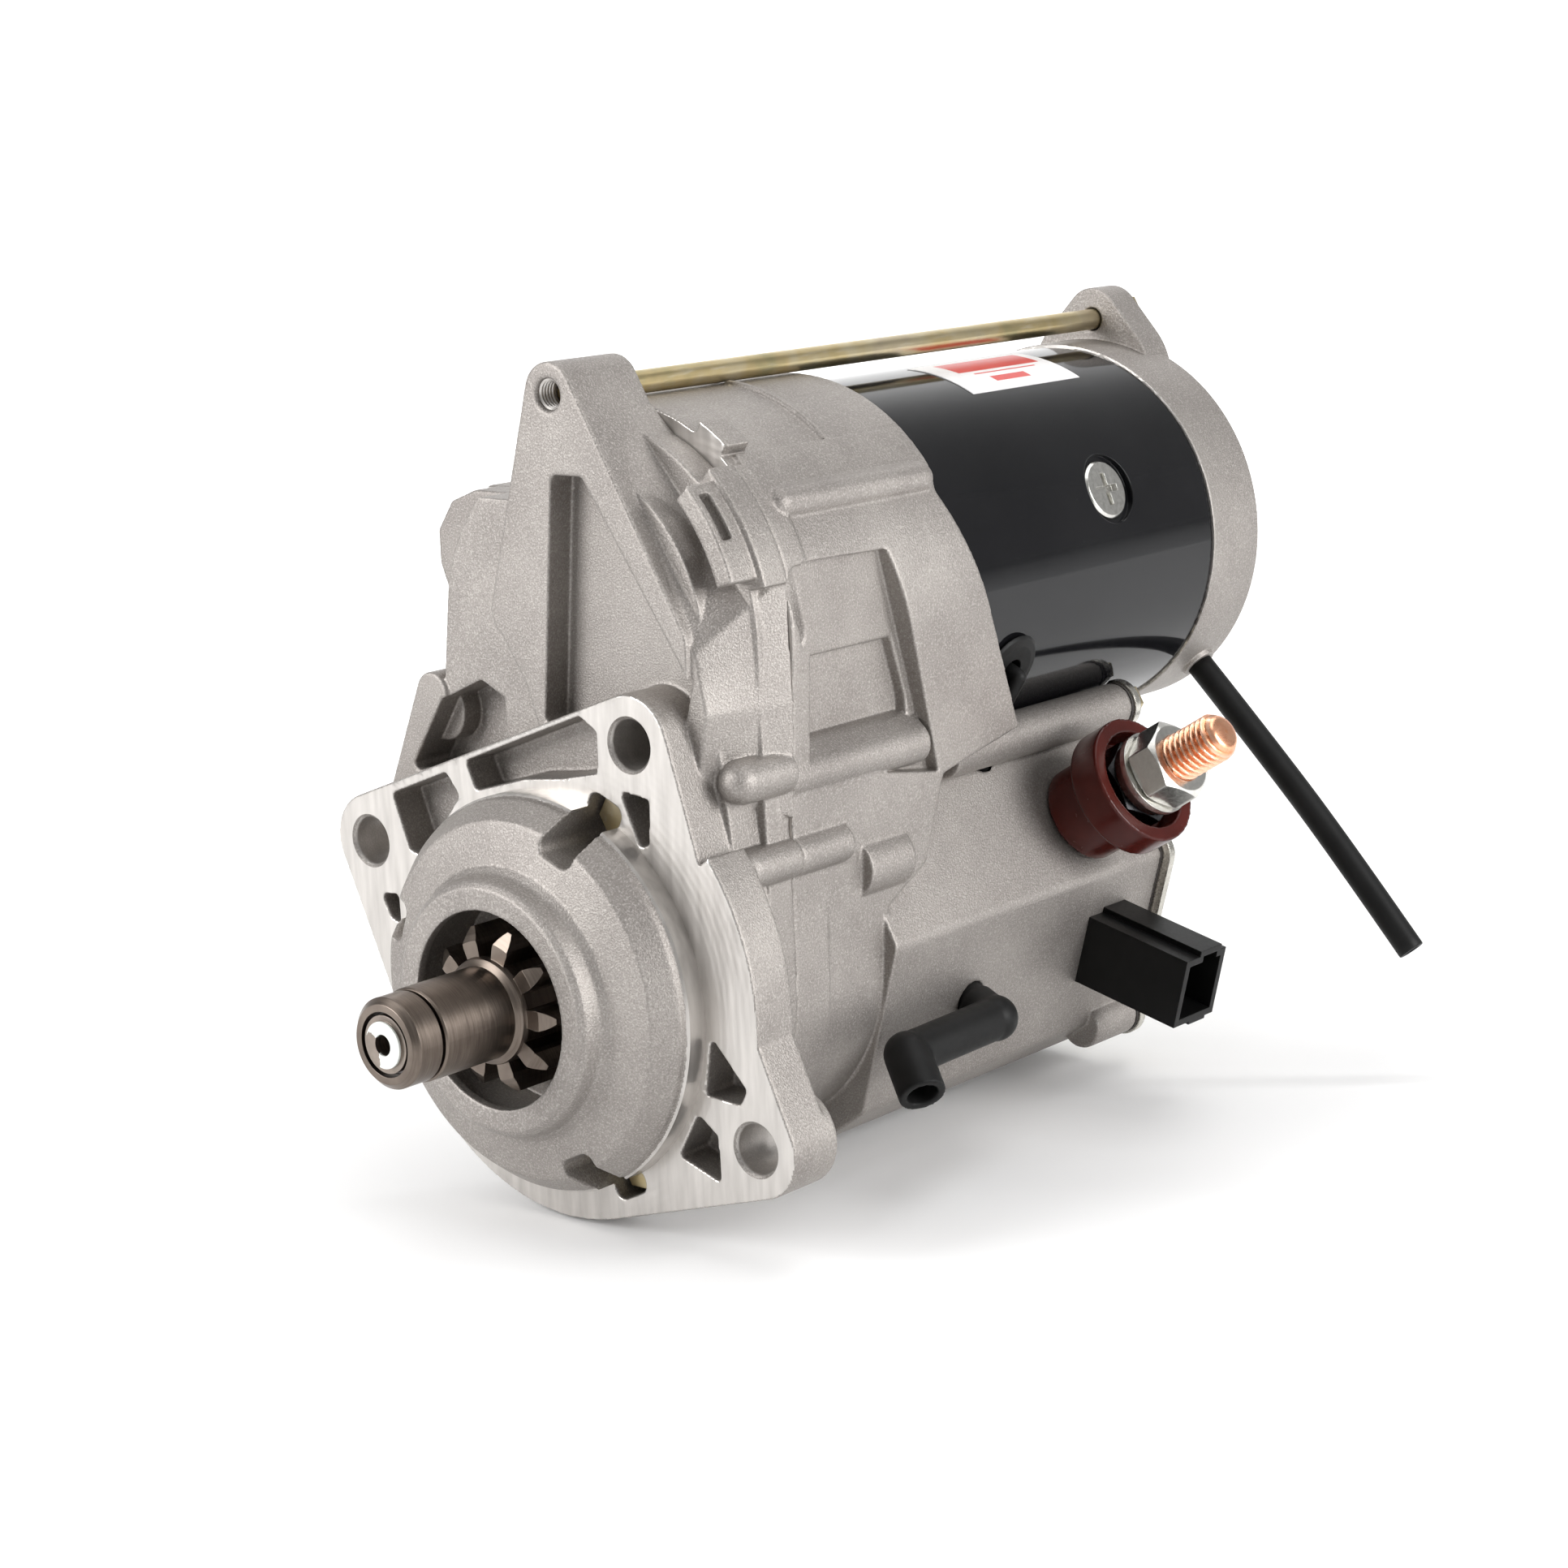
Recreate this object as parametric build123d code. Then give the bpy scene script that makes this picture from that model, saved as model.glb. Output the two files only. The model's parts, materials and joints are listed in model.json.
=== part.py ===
from build123d import *
import math
import os

# Offset gear-reduction starter motor for a diesel engine.
# Frame: the origin is the centre of the pilot on the machined flange face. +Y runs back towards the
# motor, -Y towards the engine's ring gear, +Z from the pinion axis up to the motor axis. Sizes in mm.

# ---- driving dimensions ------------------------------------------------------------------------
MOTOR_Z = 79.7            # height of the motor axis above the pinion axis
JOINT_Y = 28.0            # joint plane between the two castings
HOUSING_BACK = 167.2      # rear face of the switch housing

PILOT_R = 46.04           # 3.625 in pilot
PILOT_LEN = 5.5
NOSE_FRONT = -21.1        # rim of the pinion opening
NOSE_OPENING_R = 22.7
FLANGE_THICK = 12.0
BOLT_HOLE_RADIUS = 65.0   # distance of the three mounting holes from the pilot centre
BOLT_HOLE_ANGLES = (65.5, 155.5, -24.5)
BOLT_HOLE_R = 5.6
BOLT_HOLE_DEPTHS = (21.0, 30.0, 30.0)   # the first is blind, the others go through
BOSS_LENGTHS = (22.0, 22.0, 14.5)
BOSS_R = 11.2
UPPER_RIB = (46.5, 50.5)
LOWER_RIB = (47.5, 31.0)
NOTCH_ANGLES = (67.0, 160.0, -64.0)
NOTCH_RADIUS = 45.0
NOTCH_LENGTH, NOTCH_WIDTH = 13.0, 9.8
NOTCH_DEPTH = 8.0         # floor of the notches behind the flange face

YOKE_R = 47.9
YOKE_INNER_R = 42.5
YOKE_FRONT = 74.0
YOKE_BACK = 196.5
END_BACK = 217.0
END_R = 48.6
SKIRT_R = 51.0            # part of the switch housing that wraps the front of the yoke
SLANT_TOP = (105.0, 88.0)       # (z, y) of the upper end of the skirt's slanted rear edge
SLANT_BOTTOM = (46.0, 111.0)
THROUGH_BOLTS = ((1.5, 133.7), (-48.9, 56.9))
THROUGH_BOLT_R = 2.7
BRUSH_ANGLES = (67.0, 157.0, 247.0, 337.0)
BRUSH_Y = 206.9
EAR_FRONT = 6.0
EAR_HOLE_R = 3.5          # tapped hole in the front of the upper ear

MODULE = 2.0              # reduction gears
ARMATURE_TEETH = 11
IDLER_TEETH = 17
CLUTCH_TEETH = 36
IDLER_X, IDLER_Z = -6.86, 52.55
GEAR_FRONT, GEAR_BACK = 34.0, 48.0
TOOTH_GAP = 0.34          # backlash taken off each tooth at its pitch circle

PINION_TEETH = 10
PINION_MODULE = 3.175
PINION_FRONT, PINION_BACK = -21.0, -4.0
PINION_TRAVEL = 18.0      # room kept for the pinion, its push rod and the plunger
SLEEVE_R = 10.6
SHAFT_R = 9.0
TUBE_R = 15.0             # clutch inner race and tube
TUBE_FRONT, TUBE_BACK = -2.0, 58.0
SPLINE_FRONT = 31.2       # front end of the splines at rest
ROLLER_R = 4.5            # rollers of the overrunning clutch
ROLLER_PITCH_R = TUBE_R + ROLLER_R + 0.3
ROLLER_ANGLES = tuple(72.0 * index for index in range(5))

POLE_Y = 156.5            # middle of the pole shoes
POLE_ANGLES = (22.0, 112.0, 202.0, 292.0)
POLE_LEN = 68.0
SCREW_RADIUS = YOKE_R - 1.6     # distance of the pole screws' rims from the motor axis
GROMMET_ANGLE = -26.0
GROMMET_Y = 115.0
CORE_R = 28.0

COIL_FRONT, COIL_BACK = 74.0, 128.0
CHAMBER_FRONT = 131.0     # contact chamber behind the coil
SWITCH_BORE_R = 28.0
PLUNGER_R = 11.0
CORE_BACK = 92.0          # rear face of the fixed core, one millimetre beyond the plunger's travel
PLUNGER_FRONT = CORE_BACK + PINION_TRAVEL + 1.0
PLATE_FRONT = 158.0       # moving contact plate at rest
COVER_SCREWS = ((37.0, 40.3), (-37.0, 40.3), (37.0, -40.3), (-37.0, -40.3))

TERMINAL_Y = 142.0
TERMINAL_TILT = 31.0      # degrees above the horizontal
TERMINAL_OFFSET = -7.9    # distance of the stud axis from the switch axis
STUD_R = 6.0
SHANK_R = 5.6             # stud inside the nuts and the sleeve
THREAD_START = 82.4       # distance from the origin of the stud's axis to its bare thread

CONNECTOR_Y = 148.0
CONNECTOR_TILT = -14.0

LEAD_R = 2.0              # lead from the motor contact to the field coils
LEAD_START = ((-29.0, 133.4, 3.0), (-14.0, 133.4, 19.5), (12.0, 133.4, 22.0))
LEAD_ROUTE = ((26.0, 134.0, 19.0), (35.0, 112.0, 37.0), (46.3, 115.0, 57.1), (39.6, 115.0, 60.4))
ELBOW_ROUTE = ((47.0, 94.3, -18.8), (54.0, 92.5, -21.0), (53.0, 60.5, -22.0), (61.0, 55.8, -29.2))

HOSE_R = 3.5
HOSE_BORE_R = 2.0
HOSE_ROUTE = ((34.6, 210.0, 43.9), (56.0, 210.2, 22.2), (77.2, 210.7, -0.9), (97.6, 211.5, -25.4))


# ---- helpers -----------------------------------------------------------------------------------
def slab(sketch, y_front, y_back):
    """Carry an outline drawn in (x, z) from y_front back to y_back."""
    return Pos(0, y_front, 0) * Rot(90, 0, 0) * extrude(sketch, amount=-(y_back - y_front))


def dot(x, z, radius):
    return Pos(x, z) * Circle(radius)


def disc(radius, y_front, y_back, x=0.0, z=0.0):
    return slab(dot(x, z, radius), y_front, y_back)


def ring(outer, inner, y_front, y_back, x=0.0, z=0.0):
    return slab(dot(x, z, outer) - dot(x, z, inner), y_front, y_back)


def hull(*circles):
    """Convex outline round circles given as (x, z, radius)."""
    return make_hull([edge for circle in circles for edge in dot(*circle).edges()])


def turned(points, x=0.0, z=0.0):
    """Revolve a closed outline of (radius, y) points round the Y direction through (x, z)."""
    return Pos(x, 0, z) * revolve(make_face(Polyline(*points, close=True)), axis=Axis.Y)


def lathed(points):
    """Revolve a closed outline of (x, radius) points round the X axis."""
    return revolve(make_face(Polyline(*points, close=True)), axis=Axis.X)


def polar(radius, angle, x=0.0, z=0.0):
    return (x + radius * math.cos(math.radians(angle)), z + radius * math.sin(math.radians(angle)))


def radial(shape, angle, y, radius):
    """Stand a shape that points along +X on the motor's yoke at an angle, radius out."""
    return Pos(0, y, MOTOR_Z) * Rot(0, -angle, 0) * Pos(radius, 0, 0) * shape


def rod(radius, start, end):
    """Round bar between two points."""
    axis = Vector(*end) - Vector(*start)
    plane = Plane(origin=start, z_dir=axis)
    return plane * Pos(0, 0, axis.length / 2) * Cylinder(radius, axis.length)


def hull_rod(start, end, radius):
    """Round bar with rounded ends."""
    return rod(radius, start, end) + Pos(*start) * Sphere(radius) + Pos(*end) * Sphere(radius)


def group(shapes):
    return Compound(children=[solid for shape in shapes for solid in shape.solids()])


def gear_outline(teeth, module, gap, tip=0.8, root=1.2, turn=0.0):
    """Involute gear outline; tip and root are the heights above and below the pitch circle in modules."""
    pressure = math.radians(20)
    pitch_r = module * teeth / 2
    base_r = pitch_r * math.cos(pressure)
    tip_r = pitch_r + tip * module
    root_r = pitch_r - root * module
    half_at_pitch = math.pi / (2 * teeth) - gap / (2 * pitch_r)

    def flank(radius):
        """Half tooth angle at a radius; straight and radial below the base circle."""
        at = math.acos(min(1.0, base_r / max(radius, base_r)))
        return half_at_pitch + (math.tan(pressure) - pressure) - (math.tan(at) - at)

    start_r = max(root_r, base_r)
    radii = [start_r + (tip_r - start_r) * step / 4 for step in range(5)]
    points = []
    for tooth in range(teeth):
        middle = math.radians(turn) + 2 * math.pi * tooth / teeth
        side = [(radius, middle - flank(radius)) for radius in radii]
        far_side = [(radius, middle + flank(radius)) for radius in reversed(radii)]
        foot = flank(start_r) * 1.06
        for radius, angle in [(root_r, middle - foot)] + side + far_side + [(root_r, middle + foot)]:
            points.append((radius * math.cos(angle), radius * math.sin(angle)))
    return make_face(Polyline(*points, close=True))


def ball_bearing(bore, outer, y_front, y_back, balls, x=0.0, z=0.0):
    """Inner ring, outer ring, balls and a seal disc on the front, as separate solids."""
    wall = (outer - bore) * 0.27
    ball_r = (outer - bore - 2 * wall) / 2 + wall * 0.45
    middle_r = (bore + outer) / 2
    middle_y = (y_front + y_back) / 2
    groove = Pos(x, middle_y, z) * Rot(90, 0, 0) * Torus(middle_r, ball_r + 0.02)
    shapes = [ring(bore + wall, bore, y_front, y_back, x, z) - groove,
              ring(outer, outer - wall, y_front, y_back, x, z) - groove]
    for index in range(balls):
        ball_x, ball_z = polar(middle_r, 360 * index / balls, x, z)
        shapes.append(Pos(ball_x, middle_y, ball_z) * Sphere(ball_r - 0.03))
    seal_y = y_front + 0.4
    shapes.append(ring(outer - wall - 0.05, bore + wall + 0.1, seal_y, seal_y + 0.5, x, z))
    return group(shapes)


def coil_spring(mean_r, wire_r, y_front, y_back, turns):
    """Closed helical spring round the pinion axis."""
    height = y_back - y_front - 2 * wire_r
    path = Helix(pitch=height / turns, height=height, radius=mean_r)
    wire = sweep(Plane(origin=path @ 0, z_dir=path % 0) * Circle(wire_r), path=path, is_frenet=True)
    return Pos(0, y_back - wire_r, 0) * Rot(90, 0, 0) * wire


# ---- outlines that several castings share ---------------------------------------------------------
MOTOR = (0, MOTOR_Z)
BOLT_HOLES = [polar(BOLT_HOLE_RADIUS, angle) for angle in BOLT_HOLE_ANGLES]


def shoulder_cut():
    """The upper left of the gear case is flat on top, lower than the motor."""
    return make_face(Polyline((-70, 109.0), (-8, 109.0), (-8, 140), (-70, 140), close=True))


def case_outline(grow=0.0):
    """Outer wall at the joint plane: the clutch round the pinion axis, the motor above it."""
    body = hull((0, 0, 48.5 + grow), (0, MOTOR_Z, 47.6 + grow)) - shoulder_cut()
    left = make_face(Polyline((-8, 109.0), (-38, 109.0), (-46, 106.0), (-51, 99.0), (-51, 91.0), (-47.5, 82.0),
                              (-50.5, 73.0), (-48.5, 63.0), (-40, 50.0), (-8, 50.0), close=True))
    return body + left


def flank(points, x_in, x_out=64.0):
    """Carry an outline drawn in (y, z) across the case along X."""
    return Pos(x_in, 0, 0) * Rot(0, 0, 90) * Rot(90, 0, 0) * extrude(make_face(Polyline(*points, close=True)),
                                                                     amount=x_out - x_in)


def gear_chamber():
    """Space for the three gears."""
    space = hull((0, 0, 40.6), (0, MOTOR_Z, 15.6))
    return space + dot(IDLER_X, IDLER_Z, 20.6)


def switch_outline(grow=0.0):
    """Eight-sided section of the magnetic switch, with its side ridges level with the pinion axis."""
    return hull((33.0, 35.5, 1.5 + grow), (47.5, 3.0, 3.5 + grow), (36.0, -36.5, 4.0 + grow),
                (24.0, -43.5, 5.0 + grow), (-24.0, -43.5, 5.0 + grow), (-36.0, -36.5, 4.0 + grow),
                (-47.5, 3.0, 3.5 + grow), (-33.0, 35.5, 1.5 + grow))


# ---- drive housing ---------------------------------------------------------------------------------
def flange_outline():
    upper_left, upper_right, lower_right = BOLT_HOLES[1], BOLT_HOLES[0], BOLT_HOLES[2]
    body = hull((*upper_left, BOSS_R), (*upper_right, BOSS_R), (0, 0, 54.2))
    body += hull((*lower_right, BOSS_R), (0, 0, 54.2))
    bulge = Circle(61.0) & make_face(Polyline((0, 0), (90, -45), (90, 68), close=True))
    return body + bulge


def flange_pockets():
    """Lightening pockets in the machined face."""
    corners = (
        ((-25, 50), (-22, 43.5), (-6, 48.0), (6, 49.5), (16.8, 51.8), (17.2, 61.0), (12.0, 64.0)),
        ((-50.5, 39.5), (-32.0, 46.5), (-28.0, 41.5), (-41.0, 25.5), (-45.5, 26.5)),
        ((-56.5, 14.5), (-51.0, 15.0), (-50.5, 8.0), (-53.5, 9.0)),
        ((23.5, 48.5), (32.0, 47.5), (31.5, 37.5), (29.0, 36.5)),
        ((47.4, -3.5), (57.0, -14.0), (55.0, -17.5), (45.2, -16.9)),
        ((42.5, -22.0), (48.0, -26.0), (48.5, -36.5), (36.5, -32.5)),
    )
    pockets = Sketch()
    for points in corners:
        face = make_face(Polyline(*points, close=True))
        pockets += fillet(face.vertices(), 0.9)
    return pockets


def nose():
    """Turned outside of the nose, with its pilot, dome and raised lip."""
    profile = ((0, 0), (PILOT_R, 0), (PILOT_R, -PILOT_LEN + 0.5), (PILOT_R - 0.5, -PILOT_LEN),
               (45.4, -PILOT_LEN), (45.2, -7.0), (41.2, -12.4), (35.0, -13.8), (31.6, -14.6),
               (30.0, -16.2), (29.2, -19.8), (27.8, NOSE_FRONT), (0, NOSE_FRONT))
    return turned(profile)


def flange():
    """Nose and mounting flange, with the bosses round its three holes."""
    body = nose() + slab(flange_outline(), 0, FLANGE_THICK)
    for (x, z), length in zip(BOLT_HOLES, BOSS_LENGTHS):
        body += disc(BOSS_R, 0, length, x, z)
    return body


def front_cover():
    """Triangular gear cover with the ear for the upper through bolt."""
    ear_x, ear_z = THROUGH_BOLTS[0]
    outline = hull((ear_x, ear_z, 7.2), (-14.2, 84.0, 6.0), (33.4, 81.0, 6.0))
    outline += make_face(Polyline((-20.2, 83.0), (39.4, 80.0), (39.4, 74.0), (32.0, 50.0), (-4.0, 50.0),
                                  (-10.0, 68.0), close=True))
    cover = slab(outline, EAR_FRONT, JOINT_Y)
    return cover + side_wall()


def side_wall():
    """Right side of the cover, which widens from the edge of its face back to the joint."""
    face = make_face(Polyline((8.5, 133.0), (40.5, 79.0), (43.0, 66.0), (40.0, 50.0), (0, 50.0), (0, 133.0),
                              close=True))
    back = make_face(Polyline((9.0, 133.0), (49.6, 94.0), (50.6, 66.0), (49.5, 40.0), (0, 40.0), (0, 133.0),
                              close=True))
    wall = loft([Pos(0, EAR_FRONT + 1.5, 0) * Rot(90, 0, 0) * face, Pos(0, JOINT_Y, 0) * Rot(90, 0, 0) * back])
    step = sector(50.8, 17, 44)
    flange = sector(52.0, 14.5, 47)
    return wall + slab(step, 11.5, JOINT_Y) + slab(flange, 20, JOINT_Y) - slab(sector(60, 28, 41), 13.5, 16.5)


def sector(radius, start, stop):
    """Wedge of a disc round the motor axis, cut off flat on the inside."""
    corners = [MOTOR, polar(radius * 1.5, start, *MOTOR), polar(radius * 1.5, stop, *MOTOR)]
    return (dot(*MOTOR, radius) - dot(*MOTOR, 46.0)) & make_face(Polyline(*corners, close=True))


def cover_recess():
    """Tall triangular hollow in the face of the cover, and a small one left of it above the flange."""
    tall = fillet(make_face(Polyline((1.2, 116.0), (10.5, 116.0), (39.5, 73.5), (36.0, 60.0), (-4.5, 60.0),
                                     close=True)).vertices(), 1.5)
    web = fillet(make_face(Polyline((-55.0, 42.0), (-42.5, 61.0), (-30.0, 66.5), (-22.5, 63.0), (-22.5, 52.0),
                                    close=True)).vertices(), 1.5)
    return slab(tall, EAR_FRONT - 1, EAR_FRONT + 7) + slab(web, 10, 21.5)


def make_drive_housing():
    body = slab(hull((0, 0, 50.5), (0, MOTOR_Z, 40.0)) - shoulder_cut(), FLANGE_THICK - 1, 21)
    body += slab(case_outline(), 20, JOINT_Y)
    body += front_cover()
    body += slab(hull((-46.0, 62.0, 5.0), (-58.5, 31.0, 6.0)), FLANGE_THICK - 2, JOINT_Y)
    body -= cover_recess()
    body += flange()
    for (x, z), radius in ((UPPER_RIB, 5.0), (LOWER_RIB, 4.5)):
        body += disc(radius, 14, JOINT_Y, x, z) + Pos(x, 14, z) * Sphere(radius)
    body += disc(7.5, 16, JOINT_Y, *THROUGH_BOLTS[1])
    body -= disc(NOSE_OPENING_R, NOSE_FRONT - 1, -18)
    body -= disc(25.0, -18.5, -3.6)
    body -= disc(TUBE_R + 1.5, -4, 0)
    body -= disc(21.0, -1.6, 4)
    body -= disc(27.5, 3, 17)
    body -= disc(34.5, 16, JOINT_Y + 1)
    body -= slab(gear_chamber(), 24.5, JOINT_Y + 1)
    body -= disc(5.0, 18, JOINT_Y, IDLER_X, IDLER_Z)
    body -= slab(flange_pockets(), -1, 9)
    for (x, z), depth in zip(BOLT_HOLES, BOLT_HOLE_DEPTHS):
        body -= disc(BOLT_HOLE_R, -1, depth, x, z)
        body -= turned(((0, -0.01), (BOLT_HOLE_R + 0.9, -0.01), (BOLT_HOLE_R, 0.9), (0, 0.9)), x, z)
    for angle in NOTCH_ANGLES:
        x, z = polar(NOTCH_RADIUS, angle)
        middle = Pos(*polar(NOTCH_RADIUS - 1.5, angle)) * Rot(0, 0, angle)
        body -= slab(middle * RectangleRounded(NOTCH_LENGTH, NOTCH_WIDTH, 2.4), -22, NOTCH_DEPTH)
        body -= disc(2.7, NOTCH_DEPTH - 1, JOINT_Y + 1, x, z)
    x, z = BOLT_HOLES[1]
    body -= disc(BOSS_R + 0.3, BOSS_LENGTHS[1], JOINT_Y + 1, x, z)
    x, z = THROUGH_BOLTS[1]
    body -= disc(THROUGH_BOLT_R + 0.3, 17.7, JOINT_Y + 1, x, z)
    x, z = THROUGH_BOLTS[0]
    body -= disc(THROUGH_BOLT_R + 0.3, 5, JOINT_Y + 1, x, z)
    body -= turned(((0, 5.9), (4.2, 5.9), (EAR_HOLE_R, 6.6), (EAR_HOLE_R, 11.4), (0, 11.4)), x, z)
    return body


def make_nose_screws():
    """Three cap screws that draw the castings together from inside the nose notches."""
    screws = []
    for angle in NOTCH_ANGLES:
        x, z = polar(NOTCH_RADIUS, angle)
        head = slab(Pos(x, z) * RegularPolygon(4.6, 6), NOTCH_DEPTH - 4.0, NOTCH_DEPTH)
        screws.append(head + disc(2.6, NOTCH_DEPTH - 0.1, 44, x, z))
    return group(screws)


def make_front_seal():
    return turned(((TUBE_R + 0.1, -1.2), (20.95, -1.2), (20.95, 2.9), (17.5, 2.9), (17.5, 0.6),
                   (TUBE_R + 0.1, 0.6)))


# ---- overrunning clutch and pinion -------------------------------------------------------------------
def make_clutch_outer():
    """Driven gear with the roller shell in front and a bearing hub behind."""
    gear = slab(gear_outline(CLUTCH_TEETH, MODULE, TOOTH_GAP, turn=clutch_turn()), GEAR_FRONT, GEAR_BACK)
    shell = disc(31.0, 19.0, GEAR_FRONT + 1)
    hub = disc(17.5, GEAR_BACK - 1, TUBE_BACK + 3.2)
    body = gear + shell + hub
    body -= disc(TUBE_R + 0.04, 18, TUBE_BACK + 0.3)
    body -= disc(TUBE_R - 3.4, TUBE_BACK, TUBE_BACK + 4)
    for angle in ROLLER_ANGLES:
        x, z = polar(ROLLER_PITCH_R, angle)
        spring_x, spring_z = polar(ROLLER_PITCH_R + 1.0, angle + 20)
        body -= slab(hull((x, z, ROLLER_R + 0.02), (spring_x, spring_z, 3.4)), 20.5, 33.5)
    body -= disc(ROLLER_PITCH_R + 0.5, 18, 20.6)
    return body


def make_clutch_rollers():
    return group([disc(ROLLER_R, 21.0, 33.0, *polar(ROLLER_PITCH_R, angle)) for angle in ROLLER_ANGLES])


def make_clutch_springs():
    """Five small accordion springs, drawn as bent strips behind the rollers."""
    springs = []
    for angle in ROLLER_ANGLES:
        x, z = polar(ROLLER_PITCH_R + 1.3, angle + 19.3)
        strip = Pos(x, z) * Rot(0, 0, angle + 19) * (Rectangle(4.2, 2.2) - Rectangle(3.2, 1.2))
        springs.append(slab(strip, 22.0, 32.0))
    return group(springs)


def make_clutch_cover():
    """Pressed ring that closes the roller pockets."""
    return ring(ROLLER_PITCH_R + 0.4, TUBE_R + 0.4, 18.9, 20.4)


def spline_teeth(count, inner, outer, width):
    teeth = Sketch()
    for index in range(count):
        middle = (inner + outer) / 2
        teeth += Rot(0, 0, 360 * index / count) * Pos(middle, 0) * Rectangle(outer - inner, width)
    return teeth


def make_clutch_inner():
    """Inner race and tube; its splined rear bore turns the pinion shaft and lets it slide."""
    body = disc(TUBE_R, TUBE_FRONT, TUBE_BACK)
    body -= disc(SHAFT_R + 0.04, TUBE_FRONT - 1, 5)
    body -= disc(12.7, 4, SPLINE_FRONT + 0.2)
    body -= disc(11.3, SPLINE_FRONT, TUBE_BACK + 1)
    keys = Rot(0, 0, 30) * spline_teeth(6, 9.4, 12.0, 6.2) & Circle(12.0)
    return body + slab(keys, SPLINE_FRONT + 0.2, TUBE_BACK)


def make_pinion_shaft():
    body = disc(SHAFT_R, -20, 56)
    body += slab(spline_teeth(6, 7.0, 11.0, 3.6), SPLINE_FRONT, 56)
    body += disc(6.5, -51.6, -19)
    body += disc(5.25, -52.4, -51)
    body -= disc(2.4, -53, -44)
    body -= ring(7.0, 5.9, -48.6, -47.2)
    body -= turned(((0, 56.1), (3.6, 56.1), (0, 52.5)))
    return body


def make_pinion_gear():
    """Ten teeth with a long sleeve in front of them, chamfered where they enter the ring gear."""
    outline = gear_outline(PINION_TEETH, PINION_MODULE, 0.5, tip=1.0, root=1.15)
    body = slab(outline, PINION_FRONT, PINION_BACK)
    pitch_r = PINION_MODULE * PINION_TEETH / 2
    tip_r = pitch_r + PINION_MODULE
    body &= turned(((0, PINION_FRONT), (tip_r - 3.2, PINION_FRONT), (tip_r + 0.1, PINION_FRONT + 2.4),
                    (tip_r + 0.1, PINION_BACK - 1.0), (tip_r - 1.2, PINION_BACK + 0.01), (0, PINION_BACK)))
    sleeve_front = -43.4
    body += turned(((0, PINION_FRONT + 0.5), (12.4, PINION_FRONT + 0.5), (12.0, PINION_FRONT - 0.9),
                    (SLEEVE_R, PINION_FRONT - 2.0), (SLEEVE_R, sleeve_front + 0.4),
                    (SLEEVE_R - 0.4, sleeve_front), (0, sleeve_front)))
    body -= disc(6.52, sleeve_front - 1, -19.9)
    body -= disc(SHAFT_R + 0.02, -20.0, PINION_BACK + 1)
    return body


def make_stop_collar():
    """Collar over the snap ring, with a recess that shows the shaft end."""
    front = -51.9
    return turned(((6.55, -43.9), (9.8, -43.9), (10.25, -44.4), (10.25, front + 1.4), (8.9, front),
                   (7.3, front), (7.3, -46.6), (6.55, -46.6)))


def make_snap_ring():
    return turned(((5.95, -48.5), (7.25, -48.5), (7.25, -47.3), (5.95, -47.3)))


def make_front_bearing():
    return ball_bearing(TUBE_R + 0.03, 27.5, 3.0, 16.0, 11)


def make_rear_clutch_bearing():
    return ball_bearing(17.53, 27.5, 52.0, 62.0, 13)


def make_return_spring():
    return coil_spring(10.9, 0.8, 4.1, SPLINE_FRONT - 0.1, 5)


def make_steel_ball():
    return Pos(0, 59.0, 0) * Sphere(3.6)


# ---- reduction gears -------------------------------------------------------------------------------
def mesh_turn(teeth, driver_teeth, driver_turn, line):
    """Turn of a gear that meshes with a turned driver; line is the angle from driver to gear."""
    driver_phase = (line - driver_turn) * driver_teeth / 360
    return line + 180 + (driver_phase % 1.0 - 0.5) * 360 / teeth


IDLER_LINE = math.degrees(math.atan2(IDLER_Z - MOTOR_Z, IDLER_X))
CLUTCH_LINE = math.degrees(math.atan2(-IDLER_Z, -IDLER_X))


def idler_turn():
    return mesh_turn(IDLER_TEETH, ARMATURE_TEETH, 0.0, IDLER_LINE)


def clutch_turn():
    return mesh_turn(CLUTCH_TEETH, IDLER_TEETH, idler_turn(), CLUTCH_LINE)


def make_idler_gear():
    outline = gear_outline(IDLER_TEETH, MODULE, TOOTH_GAP, turn=idler_turn())
    return Pos(IDLER_X, 0, IDLER_Z) * slab(outline - Circle(8.0), GEAR_FRONT - 0.5, GEAR_BACK + 0.5)


def make_idler_shaft():
    return disc(4.99, 18.1, 60, IDLER_X, IDLER_Z)


def make_idler_rollers():
    spots = [polar(6.48, 30 * index, IDLER_X, IDLER_Z) for index in range(12)]
    return group([disc(1.43, GEAR_FRONT, GEAR_BACK, x, z) for x, z in spots])


# ---- motor ---------------------------------------------------------------------------------------------
def make_armature_shaft():
    """Shaft with the eleven-tooth driving gear cut on its front end."""
    gear = slab(gear_outline(ARMATURE_TEETH, MODULE, TOOTH_GAP), GEAR_FRONT - 1, GEAR_BACK + 1)
    body = Pos(0, 0, MOTOR_Z) * gear
    for radius, y_front, y_back in ((7.0, 31, 34), (7.5, 48.5, 68), (9.5, 67.5, 213.6), (6.0, 213, 224)):
        body += disc(radius, y_front, y_back, *MOTOR)
    return body


def make_armature_core():
    """Laminated core with its open slots."""
    core = dot(0, 0, CORE_R) - dot(0, 0, 9.5)
    for index in range(21):
        core -= Rot(0, 0, 360 * index / 21) * Pos(23.8, 0) * Rectangle(10.0, 2.6)
    return Pos(0, 0, MOTOR_Z) * slab(core, POLE_Y - 33, POLE_Y + 31)


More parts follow.
